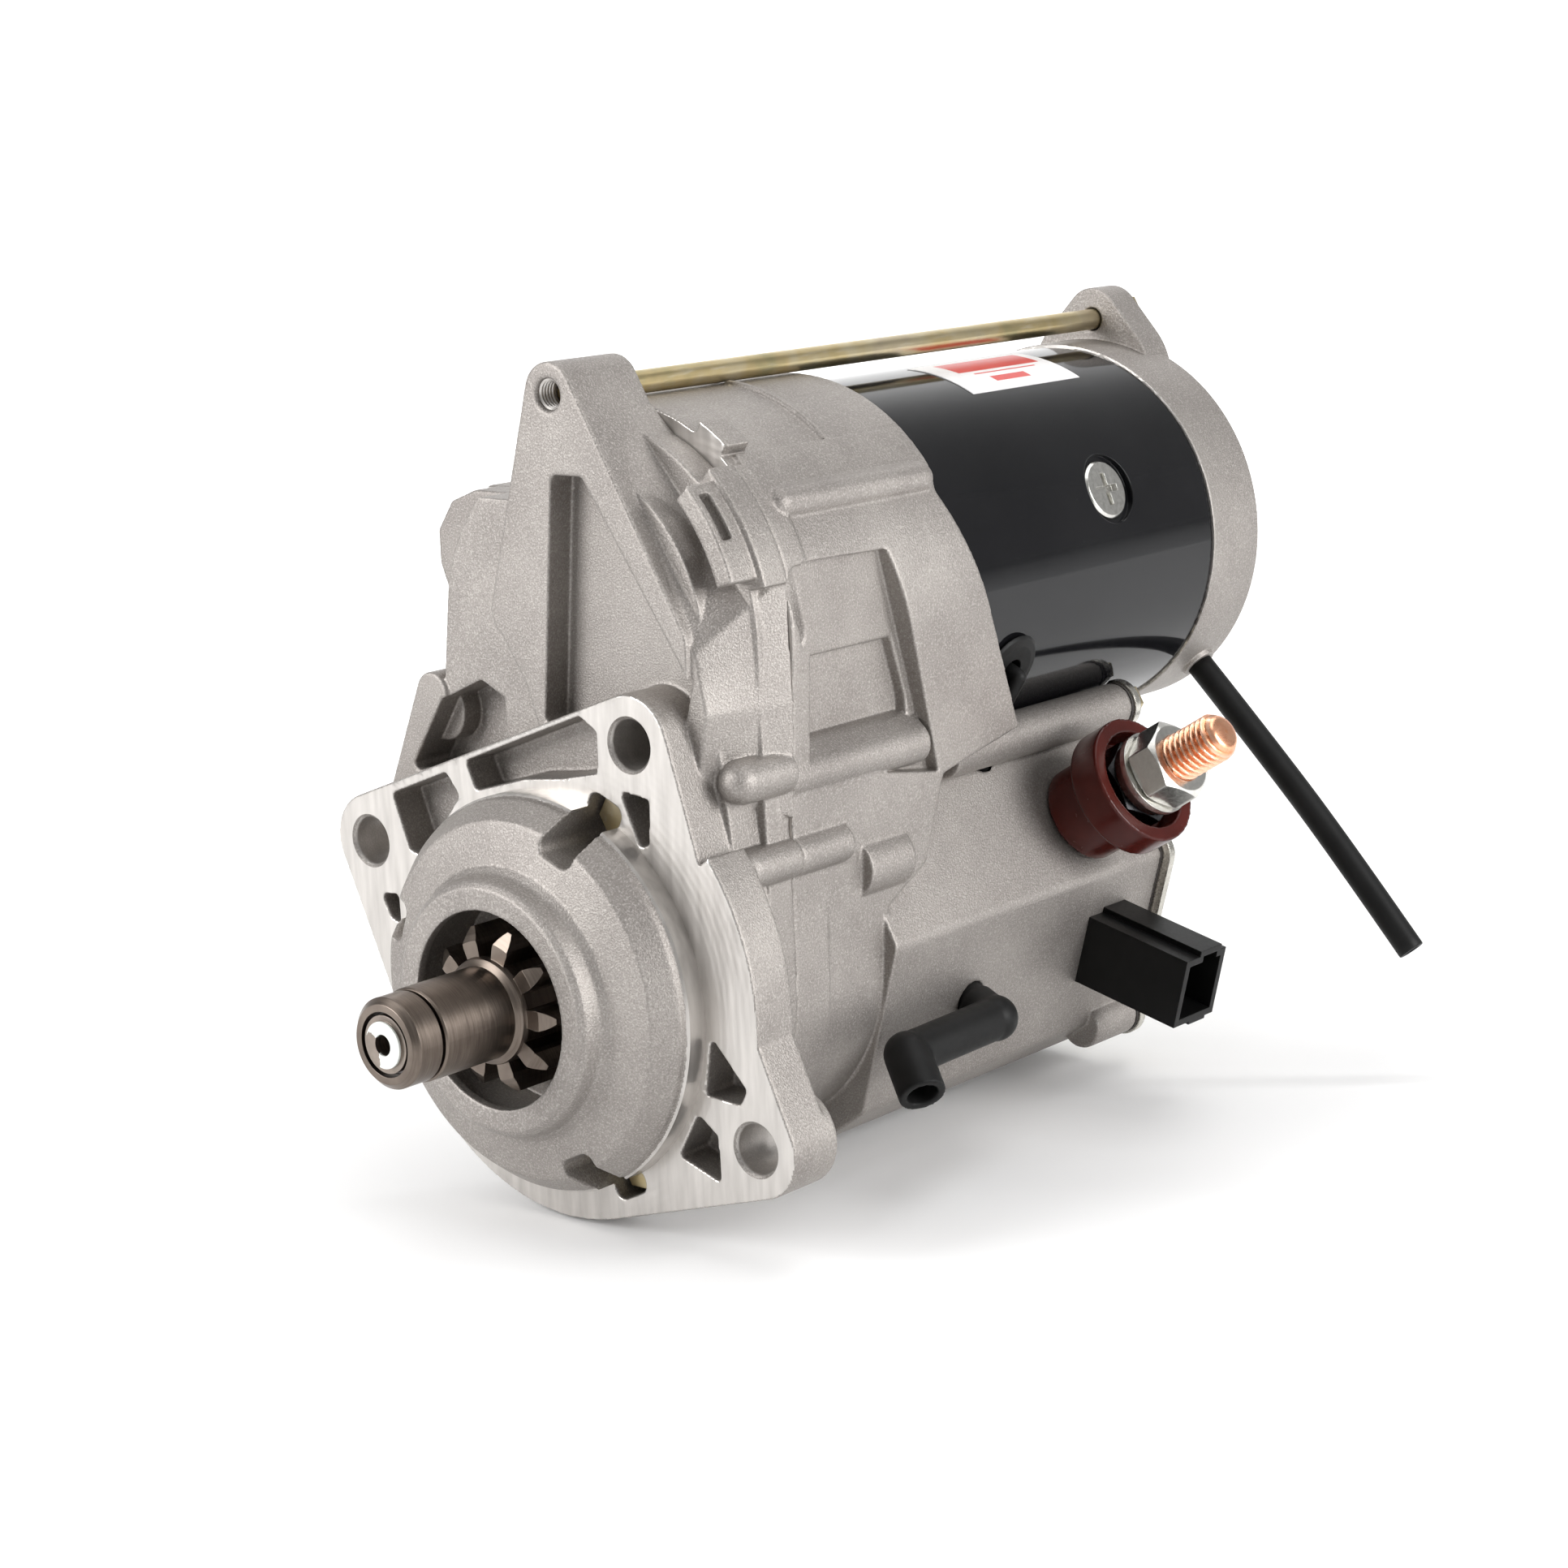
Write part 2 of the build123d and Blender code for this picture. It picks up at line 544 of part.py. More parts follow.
def make_armature_winding():
    """Copper bars in the slots and their twisted ends, with a commutator side and a drive side."""
    front = ring(26.2, 9.5, POLE_Y - 47, POLE_Y - 33, *MOTOR)
    back = ring(26.2, 9.5, POLE_Y + 31, POLE_Y + 38, *MOTOR)
    bars = Sketch()
    for index in range(21):
        bars += Rot(0, 0, 360 * index / 21) * Pos(22.6, 0) * Rectangle(7.2, 2.5)
    return front + back + Pos(0, 0, MOTOR_Z) * slab(bars, POLE_Y - 34, POLE_Y + 32)


def make_commutator():
    bar_ring = ring(16.5, 9.5, POLE_Y + 38.2, 211.5, *MOTOR)
    cuts = Sketch()
    for index in range(21):
        cuts += Rot(0, 0, 360 * (index + 0.5) / 21) * Pos(16.2, 0) * Rectangle(1.6, 0.7)
    return bar_ring - Pos(0, 0, MOTOR_Z) * slab(cuts, POLE_Y + 38, 212)


def make_armature_front_bearing():
    return ball_bearing(7.53, 17.5, 56.0, 66.0, 8, *MOTOR)


def make_armature_rear_bearing():
    return ball_bearing(6.03, 16.0, 214.0, 224.0, 7, *MOTOR)


def make_yoke():
    body = ring(YOKE_R, YOKE_INNER_R, YOKE_FRONT, YOKE_BACK, *MOTOR)
    for angle in POLE_ANGLES:
        seat = lathed(((-5.0, 0), (-5.0, 5.3), (-3.7, 5.3), (-1.45, 7.6), (-0.3, 7.6), (-0.3, 9.0),
                       (5.0, 9.0), (5.0, 0)))
        body -= radial(seat, angle, POLE_Y, SCREW_RADIUS)
    body -= radial(Rot(0, 90, 0) * Cylinder(6.9, 20), GROMMET_ANGLE, GROMMET_Y, YOKE_R - 3)
    return body


def make_pole_shoes():
    """Four pole shoes with wide tips towards the armature."""
    shoes = []
    outer = dot(0, 0, YOKE_INNER_R - 0.02) - dot(0, 0, 31.0)
    tips = dot(0, 0, 31.2) - dot(0, 0, CORE_R + 0.7)
    for angle in POLE_ANGLES:
        stem = outer & (Rot(0, 0, angle) * Pos(36, 0) * Rectangle(16, 22))
        tip = tips & (Rot(0, 0, angle) * make_face(Polyline((0, 0), (40, -23), (40, 23), close=True)))
        shoe = Pos(0, 0, MOTOR_Z) * slab(stem + tip, POLE_Y - POLE_LEN / 2, POLE_Y + POLE_LEN / 2)
        shoes.append(shoe - radial(Rot(0, 90, 0) * Cylinder(4.4, 22), angle, POLE_Y, YOKE_R - 6))
    return group(shoes)


def cross_recess(size, depth):
    """Cross-shaped driver recess that is cut along -X from the plane x = 0."""
    arm = Box(2 * depth, size, size * 0.2)
    return arm + Rot(90, 0, 0) * arm


def make_pole_screws():
    screws = []
    for angle in POLE_ANGLES:
        profile = ((-14.5, 0), (-14.5, 4.35), (-3.7, 4.35), (-3.7, 5.2), (-1.5, 7.5), (0.1, 7.5),
                   (0.7, 6.9), (0.7, 0))
        screw = lathed(profile) - Pos(0.7, 0, 0) * cross_recess(8.4, 1.6)
        screws.append(radial(screw, angle, POLE_Y, SCREW_RADIUS))
    return group(screws)


def make_field_coils():
    """Four strip-wound coils, one round the stem of each pole shoe."""
    coils = []
    for angle in POLE_ANGLES:
        wedge = Rot(0, 0, angle) * make_face(Polyline((0, 0), (50, -33.5), (50, 33.5), close=True))
        outer = (dot(0, 0, YOKE_INNER_R - 0.5) - dot(0, 0, 31.6)) & wedge
        hole = Rot(0, 0, angle) * Pos(38, 0) * Rectangle(24, 22.6)
        length = POLE_LEN + 14
        block = slab(outer, POLE_Y - length / 2, POLE_Y + length / 2 - 2)
        block -= slab(hole, POLE_Y - POLE_LEN / 2 - 0.3, POLE_Y + POLE_LEN / 2 + 0.3)
        coils.append(Pos(0, 0, MOTOR_Z) * block)
    return group(coils)


def make_yoke_grommet():
    """Rubber plug that carries the field lead out of the yoke."""
    plug = lathed(((-5.2, 3.4), (-5.2, 6.85), (0, 6.85), (0.2, 9.6), (0.9, 8.9), (1.2, 7.0),
                   (1.2, 3.4)))
    return radial(plug, GROMMET_ANGLE, GROMMET_Y, YOKE_R)


def make_rating_label():
    """Blank paper label on the yoke."""
    arc = dot(0, 0, YOKE_R + 0.22) - dot(0, 0, YOKE_R + 0.02)
    start, stop = (polar(90, angle) for angle in (62.5, 88.0))
    label = arc & make_face(Polyline((0, 0), start, stop, close=True))
    return Pos(0, 0, MOTOR_Z) * slab(label, 131.5, 175.5)


def make_end_frame():
    """Rear cover with the bearing hub and the ears for the through bolts."""
    body = disc(END_R, YOKE_BACK, END_BACK, *MOTOR)
    for x, z in THROUGH_BOLTS:
        inward = polar(38.0, math.degrees(math.atan2(z - MOTOR_Z, x)), 0, MOTOR_Z)
        body += slab(hull((x, z, 8.2), (*inward, 19.0)) - dot(*MOTOR, 40.0), 210.2, 220.2)
    body += turned(((0, END_BACK - 1), (24.0, END_BACK - 1), (22.5, 226), (21.0, 227), (0, 227)), *MOTOR)
    body -= disc(YOKE_INNER_R + 0.6, YOKE_BACK - 1, 213, *MOTOR)
    body -= disc(16.0, 212, 224.3, *MOTOR)
    for x, z in THROUGH_BOLTS:
        body -= disc(THROUGH_BOLT_R + 0.3, 209, 222, x, z)
    hose_x, hose_y, hose_z = HOSE_ROUTE[0]
    angle = math.degrees(math.atan2(hose_z - MOTOR_Z, hose_x))
    seat = math.hypot(hose_x, hose_z - MOTOR_Z)
    spigot = lathed(((seat - 3.0, 0), (seat - 3.0, 5.2), (seat - 0.02, 4.6), (seat - 0.02, HOSE_BORE_R - 0.1),
                     (seat + 7.0, HOSE_BORE_R - 0.1), (seat + 7.0, 0)))
    body += radial(spigot, angle, hose_y, 0)
    return body - radial(Rot(0, 90, 0) * Cylinder(1.1, 40), angle, hose_y, seat)


def make_through_bolts():
    bolts = []
    for (x, z), end in zip(THROUGH_BOLTS, (12.0, 18.0)):
        shank = disc(THROUGH_BOLT_R, end, 220.4, x, z)
        washer = disc(6.0, 220.2, 221.4, x, z)
        head = slab(Pos(x, z) * RegularPolygon(5.5, 6), 221.3, 226.0)
        bolts.append(shank + washer + head)
    return group(bolts)


# ---- brush gear ------------------------------------------------------------------------------------------
def make_brush_holder():
    plate = ring(41.5, 17.2, 211.6, 212.9, *MOTOR)
    for angle in BRUSH_ANGLES:
        plate += radial(Box(15.0, 9.6, 9.6) - Box(16.0, 8.3, 8.3), angle, BRUSH_Y, 27.5)
    return plate


def make_brushes():
    return group([radial(Box(16.4, 8.0, 8.0), angle, BRUSH_Y, 25.0) for angle in BRUSH_ANGLES])


def make_brush_springs():
    """Spiral springs, one behind each brush."""
    springs = []
    for angle in BRUSH_ANGLES:
        x, z = polar(34.5, angle + 16, 0, MOTOR_Z)
        springs.append(ring(3.6, 2.4, 203.0, 211.5, x, z))
    return group(springs)


# ---- magnetic switch --------------------------------------------------------------------------------------
def contact_chamber():
    """Outline of the space behind the coil, where the contacts are."""
    return hull((28.0, 20.0, 5.0), (40.0, 3.0, 5.0), (32.0, -32.0, 6.0), (20.0, -38.0, 6.0),
                (-20.0, -38.0, 6.0), (-32.0, -32.0, 6.0), (-40.0, 3.0, 5.0), (-28.0, 20.0, 5.0))


def upper_block():
    """Gear case and yoke skirt, with the rear edge that slants back down to the switch."""
    outline = hull((0, 0, 47.0), (0, MOTOR_Z, SKIRT_R))
    block = slab(outline - shoulder_cut(), JOINT_Y, 62) + slab(outline, 62, 124)
    (z_top, y_top), (z_low, y_low) = SLANT_TOP, SLANT_BOTTOM
    side = ((0, 150), (y_top + 2.5, 150), (y_top + 2.5, z_top + 6), (y_top, z_top), (y_low, z_low),
            (82, 40), (76, 20), (62, 12), (62, -60), (0, -60))
    return block & flank(side, -64.0)


def side_details(body):
    """Plateaus, ribs, a ledge, a boss and the sunken panel on the right flank."""
    body += slab(sector(52.0, 34, 50), JOINT_Y + 3, 88.5) + slab(sector(54.0, 51, 61), JOINT_Y, 36)
    body += hull_rod((41.2, 36.0, 108.2), (41.2, 84.6, 108.2), 3.9)
    body += ring(SKIRT_R + 1.1, SKIRT_R - 1, 62.0, 64.0, *MOTOR) & slab(
        make_face(Polyline((0, MOTOR_Z), (35, 122), (-5, 140), close=True)), 60, 66)
    body += disc(7.0, 52, 68, 44.5, 23.0)
    body += disc(4.5, JOINT_Y, 46, *LOWER_RIB)
    body -= flank(((34, 96), (64, 95), (80, 41), (34, 49)), 45.6)
    body -= flank(((36, 74), (68, 74), (72.5, 60), (73, 52), (36, 55)), 42.5)
    body -= hull_rod((49.0, 32.5, 91.0), (48.0, 34.5, 80.0), 4.6)
    return body + slab(hull((45.5, 48.5, 5.0), (43.0, 52.0, 4.0)), JOINT_Y, 76)


def make_switch_housing():
    body = slab(case_outline(-0.2), JOINT_Y, 40) + slab(sector(51.8, 14.5, 47), JOINT_Y, 36) + upper_block()
    body += slab(switch_outline(), 60, HOUSING_BACK)
    body = side_details(body)
    for x, z in COVER_SCREWS:
        start = 96 if z > 0 else 150
        body += disc(5.8, start, HOUSING_BACK, x, z)
    body += disc(7.4, JOINT_Y, 42, *THROUGH_BOLTS[1])

    body -= slab(gear_chamber(), JOINT_Y - 1, 52)
    body -= disc(27.5, 51, 62)
    body -= disc(13.0, 61, 66)
    body -= disc(17.5, 55.9, 67, *MOTOR)
    body -= disc(13.6, 51, 57, *MOTOR)
    body -= disc(5.0, 51, 60.2, IDLER_X, IDLER_Z)
    body -= disc(10.5, 66, 72, *MOTOR)
    body -= disc(YOKE_INNER_R, 71, YOKE_FRONT + 1, *MOTOR)
    body -= disc(YOKE_R + 0.02, YOKE_FRONT, 200, *MOTOR)
    body -= disc(5.2, 65, 75)
    body -= disc(SWITCH_BORE_R, 72, 133)
    body -= slab(contact_chamber(), CHAMBER_FRONT, HOUSING_BACK + 1)
    for x, z in COVER_SCREWS:
        body -= disc(2.1, HOUSING_BACK - 14, HOUSING_BACK + 1, x, z)
    for angle in NOTCH_ANGLES:
        body -= disc(2.65, JOINT_Y - 1, 45, *polar(NOTCH_RADIUS, angle))
    for x, z in THROUGH_BOLTS:
        body -= disc(THROUGH_BOLT_R + 0.3, JOINT_Y - 1, 130, x, z)
    x, z = THROUGH_BOLTS[1]
    body -= slab(hull((x, z, 3.2), (x - 9.0, z - 3.0, 3.2)), 42, 130)
    body -= terminal_frame() * Pos(48, 0, 0) * Rot(0, 90, 0) * Cylinder(9.0, 30)
    body -= connector_frame() * Box(30, 12.2, 12.2)
    body -= rod(4.5, ELBOW_ROUTE[0], tuple(a - 1.6 * (b - a) for a, b in zip(*ELBOW_ROUTE[:2])))
    for start, end in zip(LEAD_ROUTE, LEAD_ROUTE[1:]):
        body -= rod(LEAD_R + 0.6, start, end) + Pos(*start) * Sphere(LEAD_R + 0.6)
    body -= radial(Rot(0, 90, 0) * Cylinder(10.2, 4.4), GROMMET_ANGLE, GROMMET_Y, YOKE_R)
    return body


def make_coil_bobbin():
    bore = PLUNGER_R + 0.08
    return turned(((bore, COIL_FRONT), (27.9, COIL_FRONT), (27.9, COIL_FRONT + 2), (13.4, COIL_FRONT + 2),
                   (13.4, COIL_BACK - 2), (27.9, COIL_BACK - 2), (27.9, COIL_BACK), (bore, COIL_BACK)))


def make_switch_coil():
    return ring(26.8, 13.4, COIL_FRONT + 2, COIL_BACK - 2)


def make_fixed_core():
    """Stationary core with the hole that guides the plunger's push rod."""
    nose_r = PLUNGER_R + 0.04
    return turned(((4.06, 72.1), (27.9, 72.1), (27.9, COIL_FRONT), (nose_r, COIL_FRONT), (nose_r, CORE_BACK),
                   (4.06, CORE_BACK)))


def make_plunger():
    body = turned(((4.0, PLUNGER_FRONT), (PLUNGER_R, PLUNGER_FRONT), (PLUNGER_R, 150.0), (4.0, 150.0)))
    return body - ring(8.2, 4.0, PLUNGER_FRONT - 1, 118)


def make_plunger_rod():
    """Push rod with the bush in front of the contact plate and the spring seat behind it."""
    return disc(4.0, 62.8, 169.0) + disc(6.0, 150.0, PLATE_FRONT - 0.1) + disc(6.9, 168.5, 170.0)


def make_plunger_spring():
    return coil_spring(6.2, 0.7, CORE_BACK + 0.1, 117.9, 6)


def make_contact_plate():
    return ring(23.5, 4.3, PLATE_FRONT, PLATE_FRONT + 2.5)


def make_contact_insulators():
    """Pads that hold the two contacts off the casting."""
    motor_pad = Pos(-32.2, 133.5, -4.0) * Box(7.6, 4.96, 8.0)
    battery_pad = terminal_frame() * Pos(31.4, -8.5, -2.0) * Box(5.0, 4.96, 8.0)
    return group([motor_pad, battery_pad])


def make_contact_spring():
    return coil_spring(6.0, 0.6, PLATE_FRONT + 2.6, 168.4, 3)


def terminal_frame():
    return Pos(0, TERMINAL_Y, 0) * Rot(0, -TERMINAL_TILT, 0) * Pos(0, 0, TERMINAL_OFFSET)


def connector_frame():
    return Pos(44.5, CONNECTOR_Y, -15.8) * Rot(0, -CONNECTOR_TILT, 0)


def make_battery_contact():
    """Copper angle: one leg meets the contact plate, the other carries the terminal stud."""
    foot = Box(24.0, 6.0, 12.0, align=(Align.MIN, Align.MIN, Align.CENTER))
    wall = Box(4.0, 18.0, 16.0, align=(Align.MIN, Align.CENTER, Align.CENTER))
    body = Pos(14.0, -6.0, 0) * foot + Pos(34.0, 0, 0) * wall
    body -= Pos(36, 0, 0) * Rot(0, 90, 0) * Cylinder(SHANK_R + 0.02, 4.1)
    return terminal_frame() * body


def make_motor_contact():
    """Copper angle on the far side of the switch, joined to the field lead."""
    body = Pos(-36.0, 136.0, -2.0) * Box(22.0, 6.0, 12.0, align=(Align.MIN, Align.MIN, Align.CENTER))
    return body + Pos(-36.0, 136.0, -2.0) * Box(4.0, 12.0, 12.0, align=(Align.MIN, Align.MIN, Align.CENTER))


def make_motor_lead():
    """Copper lead from the motor contact, over the plunger and up through the grommet."""
    points = LEAD_START + LEAD_ROUTE
    lead = rod(LEAD_R, *points[:2])
    for start, end in zip(points[1:], points[2:]):
        lead += rod(LEAD_R, start, end) + Pos(*start) * Sphere(LEAD_R)
    return lead


def make_terminal_stud():
    """Copper stud with a rounded tip, screwed into the contact."""
    profile = ((34.1, 0), (34.1, SHANK_R), (THREAD_START, SHANK_R), (THREAD_START, STUD_R), (96.4, STUD_R),
               (97.4, STUD_R - 1.2), (97.4, 0))
    return terminal_frame() * lathed(profile)


def make_terminal_insulator():
    """Phenolic sleeve with a deep collar round the inner nut."""
    profile = ((38.1, 6.2), (38.1, 8.9), (47.6, 8.9), (47.6, 12.0), (58.0, 12.2), (60.5, 16.3),
               (69.4, 16.3), (69.4, 12.7), (62.0, 12.7), (62.0, 6.2))
    return terminal_frame() * lathed(profile)


def hex_bar(flats, start, end, bore):
    """Hexagonal nut blank along +X."""
    outline = RegularPolygon(flats / 2, 6, major_radius=False) - Circle(bore)
    return Pos(start, 0, 0) * Rot(0, 90, 0) * extrude(outline, amount=end - start)


def make_terminal_nuts():
    nuts = [hex_bar(19.0, 62.1, 69.0, SHANK_R), hex_bar(18.0, 73.6, 82.0, SHANK_R)]
    return group([terminal_frame() * nut for nut in nuts])


def make_terminal_washers():
    flat = lathed(((71.8, STUD_R + 0.1), (71.8, 10.6), (73.5, 10.6), (73.5, STUD_R + 0.1)))
    sprung = lathed(((69.1, STUD_R + 0.1), (69.1, 9.6), (71.7, 9.6), (71.7, STUD_R + 0.1)))
    return group([terminal_frame() * flat, terminal_frame() * sprung])


def make_switch_gasket():
    cover = switch_outline(-0.2)
    for x, z in COVER_SCREWS:
        cover += dot(x, z, 5.8)
    cover -= contact_chamber() + dot(*MOTOR, YOKE_R + 0.3)
    for x, z in COVER_SCREWS:
        cover -= dot(x, z, 2.4)
    return slab(cover, HOUSING_BACK, 168.0)


def make_switch_cover():
    """Pressed steel lid with a raised middle."""
    rim = switch_outline(2.2)
    for x, z in COVER_SCREWS:
        rim += dot(x, z, 6.4)
    rim -= dot(*MOTOR, YOKE_R + 0.5)
    body = slab(rim, 168.0, 170.2)
    raised = hull((24.0, 17.0, 6.0), (36.0, 2.0, 6.0), (28.0, -28.0, 7.0), (-28.0, -28.0, 7.0),
                  (-36.0, 2.0, 6.0), (-24.0, 17.0, 6.0))
    inside = hull((24.0, 17.0, 4.0), (36.0, 2.0, 4.0), (28.0, -28.0, 5.0), (-28.0, -28.0, 5.0),
                  (-36.0, 2.0, 4.0), (-24.0, 17.0, 4.0))
    body += slab(raised, 169, 178.0)
    body -= slab(inside, 167, 176.0)
    for x, z in COVER_SCREWS:
        body -= disc(2.4, 167, 171, x, z)
    return body


def make_cover_screws():
    screws = []
    for x, z in COVER_SCREWS:
        screws.append(disc(2.08, 155.0, 170.3, x, z) + slab(Pos(x, z) * RegularPolygon(4.6, 6), 170.2, 174.0))
    return group(screws)


def make_connector_housing():
    """Moulded single-way socket with an open mouth and a latch rail on top."""
    shell = Pos(0.6, 0, 0) * Box(31.0, 17.0, 18.0, align=(Align.MIN, Align.CENTER, Align.CENTER))
    shell += Pos(0.6, 1.7, 9.0) * Box(31.0, 9.0, 2.8, align=(Align.MIN, Align.CENTER, Align.CENTER))
    shell += Pos(0.6, 1.7, -9.0) * Box(31.0, 7.0, 1.6, align=(Align.MIN, Align.CENTER, Align.CENTER))
    shell = connector_frame() * shell - slab(switch_outline(0.02), 120, HOUSING_BACK)
    neck = Pos(-9.5, 0, 0) * Box(14.0, 12.0, 12.0, align=(Align.MIN, Align.CENTER, Align.CENTER))
    mouth = Pos(11.0, 0, 0) * Box(30.0, 13.4, 14.4, align=(Align.MIN, Align.CENTER, Align.CENTER))
    mouth += Pos(11.0, 1.7, 7.4) * Box(30.0, 6.0, 2.8, align=(Align.MIN, Align.CENTER, Align.CENTER))
    slit = Box(40.0, 6.4, 0.9)
    return shell + connector_frame() * neck - connector_frame() * (mouth + slit)


def make_connector_blade():
    return connector_frame() * Pos(-12.0, 0, 0) * Box(38.0, 6.3, 0.8,
                                                      align=(Align.MIN, Align.CENTER, Align.CENTER))


def make_vent_elbow():
    """Moulded rubber breather: out of the flank, forward along it, then down to an open mouth."""
    body = rod(4.9, *ELBOW_ROUTE[:2]) + rod(5.2, *ELBOW_ROUTE[1:3]) + rod(5.6, *ELBOW_ROUTE[2:])
    for point in ELBOW_ROUTE[1:3]:
        body += Pos(*point) * Sphere(5.6)
    start, toward = ELBOW_ROUTE[:2]
    root = tuple(a - 0.9 * (b - a) for a, b in zip(start, toward))
    body += rod(4.45, root, start)
    mouth, inner = ELBOW_ROUTE[3], ELBOW_ROUTE[2]
    past = tuple(a + 0.2 * (a - b) for a, b in zip(mouth, inner))
    return body - rod(3.7, inner, past)


def make_drain_hose():
    """Free rubber hose, plugged into the side of the rear cover."""
    path = hose_path()
    start = Plane(origin=path @ 0, z_dir=path % 0)
    return sweep(start * (Circle(HOSE_R) - Circle(HOSE_BORE_R)), path=path)


def hose_path():
    points = [Vector(*point) for point in HOSE_ROUTE]
    radii = []
    for before, corner, after in zip(points, points[1:], points[2:]):
        turn = math.radians((corner - before).get_angle(after - corner))
        run = min((corner - before).length, (after - corner).length)
        radii.append(0.45 * run / math.tan(turn / 2))
    print("hose bend radii", [round(radius) for radius in radii])
    return FilletPolyline(*points, radius=radii)


MAKERS = (
    make_drive_housing, make_nose_screws, make_front_seal, make_front_bearing, make_clutch_outer,
    make_clutch_rollers, make_clutch_springs, make_clutch_cover, make_clutch_inner,
    make_rear_clutch_bearing, make_return_spring, make_pinion_shaft, make_pinion_gear,
    make_stop_collar, make_snap_ring, make_steel_ball, make_idler_gear, make_idler_shaft,
    make_idler_rollers, make_armature_shaft, make_armature_core, make_armature_winding,
    make_commutator, make_armature_front_bearing, make_armature_rear_bearing, make_yoke,
    make_pole_shoes, make_pole_screws, make_field_coils, make_yoke_grommet, make_rating_label,
    make_end_frame, make_through_bolts, make_brush_holder, make_brushes, make_brush_springs,
    make_switch_housing, make_coil_bobbin, make_switch_coil, make_fixed_core, make_plunger,
    make_plunger_rod, make_plunger_spring, make_contact_plate, make_contact_spring,
    make_contact_insulators, make_battery_contact, make_motor_contact, make_motor_lead,
    make_terminal_stud, make_terminal_insulator, make_terminal_nuts, make_terminal_washers,
    make_switch_gasket, make_switch_cover, make_cover_screws, make_connector_housing,
    make_connector_blade, make_vent_elbow, make_drain_hose,
)


def main():
    """Write one STEP file for each piece, named after its maker."""
    os.makedirs("parts", exist_ok=True)
    for maker in MAKERS:
        name = maker.__name__.removeprefix("make_")
        export_step(maker(), f"parts/{name}.step")


main()
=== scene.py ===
import json
import math

import bmesh
import bpy
import numpy as np
from mathutils import Matrix, Vector


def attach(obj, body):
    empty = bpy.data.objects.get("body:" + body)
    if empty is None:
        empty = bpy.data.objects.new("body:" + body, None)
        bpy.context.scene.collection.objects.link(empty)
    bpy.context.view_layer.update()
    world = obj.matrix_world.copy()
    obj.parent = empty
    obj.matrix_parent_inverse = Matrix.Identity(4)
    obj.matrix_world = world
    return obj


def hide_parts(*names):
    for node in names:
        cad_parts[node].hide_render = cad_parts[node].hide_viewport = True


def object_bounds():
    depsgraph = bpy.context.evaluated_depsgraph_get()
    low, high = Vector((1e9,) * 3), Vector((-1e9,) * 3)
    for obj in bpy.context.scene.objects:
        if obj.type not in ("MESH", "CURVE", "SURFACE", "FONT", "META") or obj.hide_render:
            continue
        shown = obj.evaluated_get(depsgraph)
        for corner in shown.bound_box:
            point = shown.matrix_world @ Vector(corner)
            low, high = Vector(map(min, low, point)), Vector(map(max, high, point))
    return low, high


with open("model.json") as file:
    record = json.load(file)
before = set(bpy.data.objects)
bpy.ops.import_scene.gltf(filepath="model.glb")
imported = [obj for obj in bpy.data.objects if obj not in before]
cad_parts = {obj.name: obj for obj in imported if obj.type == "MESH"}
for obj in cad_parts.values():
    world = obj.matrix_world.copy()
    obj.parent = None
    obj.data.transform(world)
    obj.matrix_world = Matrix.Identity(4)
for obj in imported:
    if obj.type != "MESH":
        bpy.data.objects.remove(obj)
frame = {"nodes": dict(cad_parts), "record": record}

MM = 0.001
NODES = frame["nodes"]
cad_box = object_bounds()

# ---- the camera, and places that the pieces share with the CAD model in millimetres ---------------
CAMERA_PLACE = (0.5075, -0.4970, 0.2006)                 # in metres
CAMERA_AZIMUTH, CAMERA_ELEVATION, CAMERA_ROLL = 41.27, 12.36, -2.2
MOTOR_Z = 79.7
PILOT_R = 46.04
YOKE_R = 47.9
TERMINAL_Y, TERMINAL_TILT, TERMINAL_OFFSET = 142.0, 31.0, -7.9
STUD_R, NUT_BORE_R = 6.0, 5.4
HOSE_R, HOSE_BORE_R, HOSE_LENGTH = 3.5, 2.0, 93.7
HOSE_ROUTE = ((34.6, 210.0, 43.9), (56.0, 210.2, 22.2), (77.2, 210.7, -0.9), (97.6, 211.5, -25.4))
EAR_HOLE = (1.5, 133.7)
JOINT_Y, HOUSING_BACK, END_FRAME_FRONT = 28.0, 167.2, 196.5
BOLT_HOLES = [(65.0 * math.cos(math.radians(a)), 65.0 * math.sin(math.radians(a)))
              for a in (65.5, 155.5, -24.5)]


# ---- camera, lights and floor ---------------------------------------------------------------------
def aim(obj, place, target, roll=0.0):
    """Put obj at a place, looking at a target, turned about its line of sight."""
    back = (Vector(place) - Vector(target)).normalized()
    right = Vector((0, 0, 1)).cross(back).normalized()
    up = back.cross(right)
    turn = Matrix.Rotation(roll, 3, "Z")
    axes = Matrix((right, up, back)).transposed() @ turn
    obj.matrix_world = Matrix.Translation(place) @ axes.to_4x4()


def add_camera():
    azimuth, elevation = math.radians(CAMERA_AZIMUTH), math.radians(CAMERA_ELEVATION)
    place = Vector(CAMERA_PLACE)
    back = Vector((math.sin(azimuth) * math.cos(elevation), -math.cos(azimuth) * math.cos(elevation),
                   math.sin(elevation)))
    data = bpy.data.cameras.new("camera")
    data.lens, data.sensor_width = 74.53, 36.0
    data.clip_start, data.clip_end = 0.02, 50.0
    camera = bpy.data.objects.new("camera", data)
    bpy.context.scene.collection.objects.link(camera)
    aim(camera, place, place - back, math.radians(CAMERA_ROLL))
    bpy.context.scene.camera = camera


